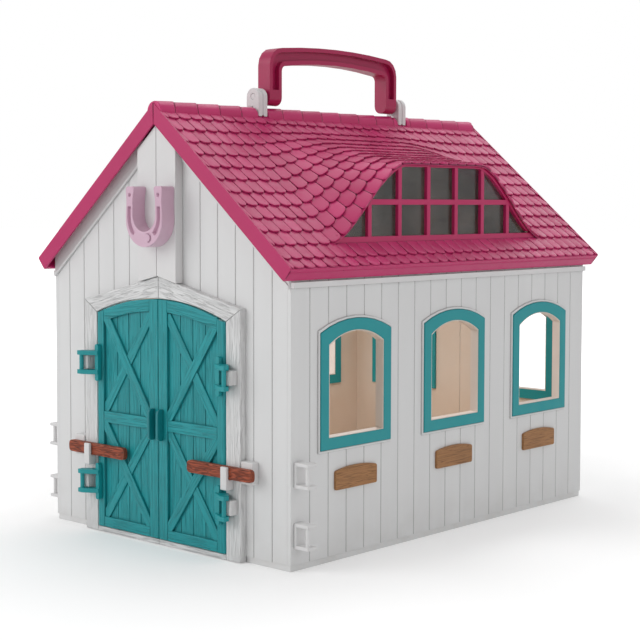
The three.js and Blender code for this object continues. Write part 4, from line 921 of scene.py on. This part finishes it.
def horseshoe():
    """The clasp: a grid along the shoe and across it, with a skirt from its rim to a flat back. Its face
    falls along a quarter circle near the rim, and sinks in two slots, two nail holes and a ring round
    the pin."""
    outer = shoe_edge(*SHOE_OUTER, (197.5, -0.5, 4.5))
    inner = shoe_edge(*SHOE_INNER, (SHOE_TOP, -1.3, 5.5))
    across = inner - outer
    wide = np.linalg.norm(across, axis=1, keepdims=True)
    heel, rounding = 1.8, 0.45  # radii of the heels' corners and of the rim
    short = heel - np.minimum(SHOE_TOP - outer[:, 1:], heel)
    narrow = heel - np.sqrt(heel**2 - short**2)
    inside = wide - 2 * narrow
    rim = np.array([0.0, 0.06, 0.2, rounding])
    middle = rounding + (inside - 2 * rounding) * np.linspace(0, 1, 25)[1:-1]
    lateral = np.concatenate([0 * wide + rim, middle, inside - rim[::-1]], 1)
    flat = outer[:, None] + (across / wide)[:, None] * (lateral + narrow)[..., None]
    down = SHOE_TOP - flat[..., 1]
    away = np.minimum(np.minimum(lateral, inside - lateral), SHOE_TOP - outer[:, 1:])
    fall = rounding - np.sqrt(rounding**2 - (rounding - np.clip(away, 0, rounding)) ** 2)
    centred = np.abs(lateral - inside / 2)
    angle = np.arctan2(SHOE_OUTER[1] - flat[..., 1], np.abs(flat[..., 0]))
    slot_half, slot_start, slot_end, nail_down = 1.55, 11.4, math.radians(44), 4.8
    slot = np.clip((slot_half - centred) / 0.3, 0, 1) * np.clip((down - slot_start) / 0.4, 0, 1)
    slot = slot * np.clip((slot_end - angle) / 0.04, 0, 1)
    nail = np.exp(-(np.hypot(centred, down - nail_down) ** 6))
    ring = np.hypot(flat[..., 0] - SHOE_PIN[0], flat[..., 1] - SHOE_PIN[1])
    slot_depth, nail_depth, ring_depth, ring_radius, ring_half = 1.9, 1.6, 0.5, 2.2, 0.28
    sunk = slot_depth * slot + nail_depth * nail
    sunk = sunk + ring_depth * np.exp(-(((ring - ring_radius) / ring_half) ** 4))
    rows, columns = lateral.shape
    border = grid_border(rows, columns)
    front = placed(flat, SHOE_BACK + SHOE_DEPTH - fall - sunk, "front").reshape(-1, 3)
    back = front[border[:-1]] * [1, 0, 1] - [0, SHOE_BACK, 0]
    under = rows * columns + np.arange(len(back))
    sides = strip(border, np.append(under, under[0]))
    faces = [grid_quads(rows, columns), sides, under[None, ::-1]]
    return Moulding().add(np.concatenate([front, back]), faces)


def fence_loop(bottom):
    """A loop for a fence: a plate on the wall, two arms, and a rod between their tips."""
    form = Moulding()
    root, tip, top = SIDE + SEAT, SIDE + 10.5, bottom + 14.0
    back, front = 133.0, 140.0
    plate, arm, radius = 1.7, 1.9, 1.2  # the plate's and the arms' thickness, and the rod's radius
    form.board(softened(oblong(root, root + plate, bottom, top), 0.3, 2), back, front, 0.35)
    for low in (bottom + 0.1, top - 0.1 - arm):
        outline = softened(oblong(root + 0.3, tip, low, low + arm), 0.6, 3)
        form.board(outline, back + 0.05, front - 0.05, 0.4)
    turn = np.linspace(0, 2 * math.pi, 17)[:-1]
    rod = np.stack([tip - 2.3 + radius * np.cos(turn), 2.4 - front + radius * np.sin(turn)], 1)
    return form.tube(np.stack([rod, rod]), np.array([[bottom + 0.4], [top - 0.4]]), "top")


# Side walls
def window_outline(middle, inset):
    """A window's outline, arched on top, with every side moved inwards by an inset."""
    half = WINDOW_HALF - inset
    u = np.linspace(half, -half, 21)
    top = np.stack([middle + u, arch_z(u, half, WINDOW_CORNER - inset, WINDOW_CROWN - inset)], 1)
    low = WINDOW_BOTTOM + inset
    return np.concatenate([[[middle - half, low], [middle + half, low]], top])


def sleeve(middle, rings, side):
    """Rings of a window's outline, each at its inset and its depth, joined into one closed frame."""
    flat = np.stack([window_outline(middle, inset) for inset, _ in rings])
    return Moulding().tube(flat, np.array([[depth] for _, depth in rings]), side, closed=True)


def window_frame(middle, face=SIDE, side="side"):
    """A frame that clips through a wall: a flange outside, a core in the hole, a flange inside."""
    outside, seat, wall_back, inside, core = face + 1.7, face + SEAT, face - 2.5, face - 4.1, 2.4
    inward, down = quarter_round(0.45)
    rings = [(0.0, seat)] + [(i, outside - d) for i, d in zip(inward, down)]
    rings += [(OPENING - i, outside - d) for i, d in zip(inward[::-1], down[::-1])]
    rings += [(OPENING, inside), (0.0, inside), (0.0, wall_back), (core, wall_back), (core, seat)]
    return sleeve(middle, rings, side)


def window_lining(middle, face=SIDE, side="side"):
    """A thin pale sleeve inside a frame's opening."""
    rings = [(0.0, 1.2), (0.1, 1.35), (0.45, 1.35), (0.55, 1.2), (0.55, -4.1), (0.0, -4.1)]
    return sleeve(middle, [(OPENING + inset, face + depth) for inset, depth in rings], side)


def name_plate(middle):
    """A name plate with a bowed top."""
    u = np.linspace(PLATE_HALF, -PLATE_HALF, 13)
    top = zip(middle + u, arch_z(u, PLATE_HALF, PLATE_CORNER, PLATE_CROWN))
    outline = [(middle - PLATE_HALF, PLATE_BOTTOM), (middle + PLATE_HALF, PLATE_BOTTOM), *top]
    outline = softened(outline, 1.1, 2)
    return Moulding().board(outline, SIDE + SEAT, SIDE + 1.7, 0.4, "side", along=(1.0, 0.0))


# Camera and studio
def camera():
    """The camera, with its place in metres. The picture's middle lies 30 of its 640 pixels off the axis
    of the lens."""
    data = bpy.data.cameras.new("camera")
    data.lens = 83.1
    data.sensor_width = 36.0
    data.sensor_fit = "HORIZONTAL"
    data.shift_y = -30 / 640
    data.clip_start = 0.01
    made = added("camera", data)
    made.location = (0.63486, -0.70796, 0.19756)
    yaw, pitch, roll = (math.radians(angle) for angle in (42.262, 3.398, 0.116))
    turn = Matrix.Rotation(yaw, 4, "Z") @ Matrix.Rotation(math.pi / 2 - pitch, 4, "X")
    made.rotation_euler = (turn @ Matrix.Rotation(roll, 4, "Z")).to_euler()
    bpy.context.scene.camera = made


def lamp(name, place, aim, size, power):
    """A round soft lamp that looks at a height on the stable's axis. Metres, and watts for its power."""
    data = bpy.data.lights.new(name, "AREA")
    data.shape = "DISK"
    data.size = size
    data.energy = power
    made = added(name, data)
    made.location = place
    made.rotation_euler = (Vector((0.0, 0.0, aim)) - Vector(place)).to_track_quat("-Z", "Y").to_euler()


def seen(add):
    """1 for a ray from the camera and for one that came through glass, and 0 for light's other ways."""
    path = add("LightPath", {}).outputs
    inputs = {0: path["Is Camera Ray"], 1: path["Is Transmission Ray"]}
    return add("Math", inputs, operation="MAXIMUM")


def studio_paper(add, place):
    """Pale matt paper that glows more with the distance, so that it runs into the white background."""
    paper = add("BsdfDiffuse", {"Color": "#f4f4f4"})
    away = add("VectorMath", {0: place}, operation="LENGTH").outputs["Value"]
    glow = {0: between(add, away, 0.2, 1.0, 0.18, 0.7), 1: seen(add)}
    strength = add("Math", glow, operation="MULTIPLY")
    emission = add("Emission", {"Strength": strength})
    return {0: paper, 1: emission}


def studio():
    """Soft light on pale paper before a white background that lights at about half its brightness: a key
    from above, a sheen from behind for the roof, a lamp in front on the left, a fill on the right and a
    faint lamp inside."""
    world = bpy.data.worlds.new("studio")
    add = fresh_nodes(world)
    strength = between(add, seen(add), 0.0, 1.0, 0.54, 1.0)
    light = add("Background", {"Color": "#ffffff", "Strength": strength})
    add("OutputWorld", {"Surface": light})
    bpy.context.scene.world = world
    bpy.context.scene.view_settings.view_transform = "Standard"
    lamp("key", (-0.45, 0.8, 2.2), 0.12, 2.4, 15.5)
    lamp("sheen", (-0.4, 2.3, 1.25), 0.2, 1.4, 4.5)
    lamp("front", (-1.1, -2.0, 1.2), 0.12, 2.0, 20.5)
    lamp("fill", (2.0, 0.3, 1.0), 0.12, 1.4, 4.4)
    lamp("inner", (0.0, 0.0, 0.17), 0.0, 0.12, 0.2)
    mesh = bpy.data.meshes.new("studio_floor")
    corners = [(x, y, 0.0) for x, y in oblong(-8.0, 8.0, -8.0, 8.0)]
    mesh.from_pydata(corners, [], [(0, 1, 2, 3)])
    mesh.materials.append(surface("studio_floor_paper", studio_paper, "AddShader"))
    made = added("studio_floor", mesh)


def pair(form, node_name, suffix, finish, slot, part="half", replaces=True):
    """A piece on the right half and its mirror image on the left one."""
    for side in ("right", "left"):
        made = form if side == "right" else form.reflected()
        stands_for = [f"{side}_{node_name}"] if replaces else ()
        made.piece(f"{side}_{node_name}_{suffix}", finish, f"{side}_{part}", slot, stands_for)


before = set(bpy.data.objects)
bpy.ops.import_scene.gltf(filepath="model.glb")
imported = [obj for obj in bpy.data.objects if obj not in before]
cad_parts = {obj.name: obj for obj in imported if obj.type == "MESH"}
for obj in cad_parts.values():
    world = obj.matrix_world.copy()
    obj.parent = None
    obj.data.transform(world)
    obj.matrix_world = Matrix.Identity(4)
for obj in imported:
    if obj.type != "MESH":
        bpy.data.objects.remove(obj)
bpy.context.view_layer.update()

camera()
studio()

roof(True).piece("right_roof_tiles", "tiles", "right_half", "roof", ["right_roof"])
roof(False).reflected().piece("left_roof_tiles", "tiles", "left_half", "roof", ["left_roof"])
pair(ridge_roll(), "ridge_cap", "roll", "tiles", "roof")
dormer_window().piece("dormer_window_bars", "dormer", "right_half", "dormer", ["dormer_window"])
dormer_pane().piece("dormer_pane_sheet", "pane", "right_half", "pane", ["dormer_pane"])
pair(door(), "door", "boards", "door", "door", "leaf")
pair(door_frame(), "door_frame", "boards", "trim", "trim")
pair(lock_bar(), "lock_bar", "board", "bar", "bar", "bar")
pair(bar_post(), "bar_post", "block", "white", "trim")
pair(bar_hook(), "bar_hook", "strip", "white", "trim")
for number, middle in enumerate(WINDOW_MIDDLES, 1):
    pair(window_frame(middle), f"window_frame_{number}", "moulded", "window", "window_frame")
    pair(window_lining(middle), f"window_lining_{number}", "sleeve", "cream", "trim", replaces=False)
    pair(name_plate(middle), f"name_plate_{number}", "board", "plate", "plate")
for number, bottom in enumerate(FENCE_LOOPS, 1):
    pair(fence_loop(bottom), f"fence_loop_{number}", "rod", "white", "trim")
horseshoe().piece("horseshoe_moulded", "clasp", "clasp", "clasp", ["horseshoe_clasp"])

back_frame = window_frame(-BACK_WINDOW, FRONT, "back")
back_lining = window_lining(-BACK_WINDOW, FRONT, "back")
pair(back_frame, "back_window_frame", "moulded", "window", "window_frame", replaces=False)
pair(back_lining, "back_window_lining", "sleeve", "cream", "trim", replaces=False)

# These CAD shapes are shown as they are.
kept = {"front_handle_pin": "white", "rear_handle_pin": "white", "hinge_rod": "rod"}
for side in ("right", "left"):
    body = f"{side}_half"
    for name in ("side_wall", "front_wall", "back_wall"):
        kept[f"{side}_{name}"] = "wall"
    kept[f"{side}_roof_liner"] = "white"
    kept[f"{side}_floor"] = "floor"
    for number in (1, 2):
        rounded_copy(f"{side}_hinge_loop_{number}", 0.4, "teal", body)
    rounded_copy(f"{side}_gable_panel", 0.5, "white", body)
    rounded_copy(f"{side}_hinge_leaf", 0.3, "white", body)
    rounded_copy(f"{side}_door_pull", 0.5, "pull", f"{side}_leaf")

rounded_copy("handle", 0.6, "handle", "carry_handle", 3)
rounded_copy("clasp_pin", 0.25, "clasp", "right_half")
for end in ("front", "rear"):
    rounded_copy(f"{end}_handle_ear", 0.45, "white", "right_half")
for name, finish in kept.items():
    finished(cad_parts[name].data, finish)
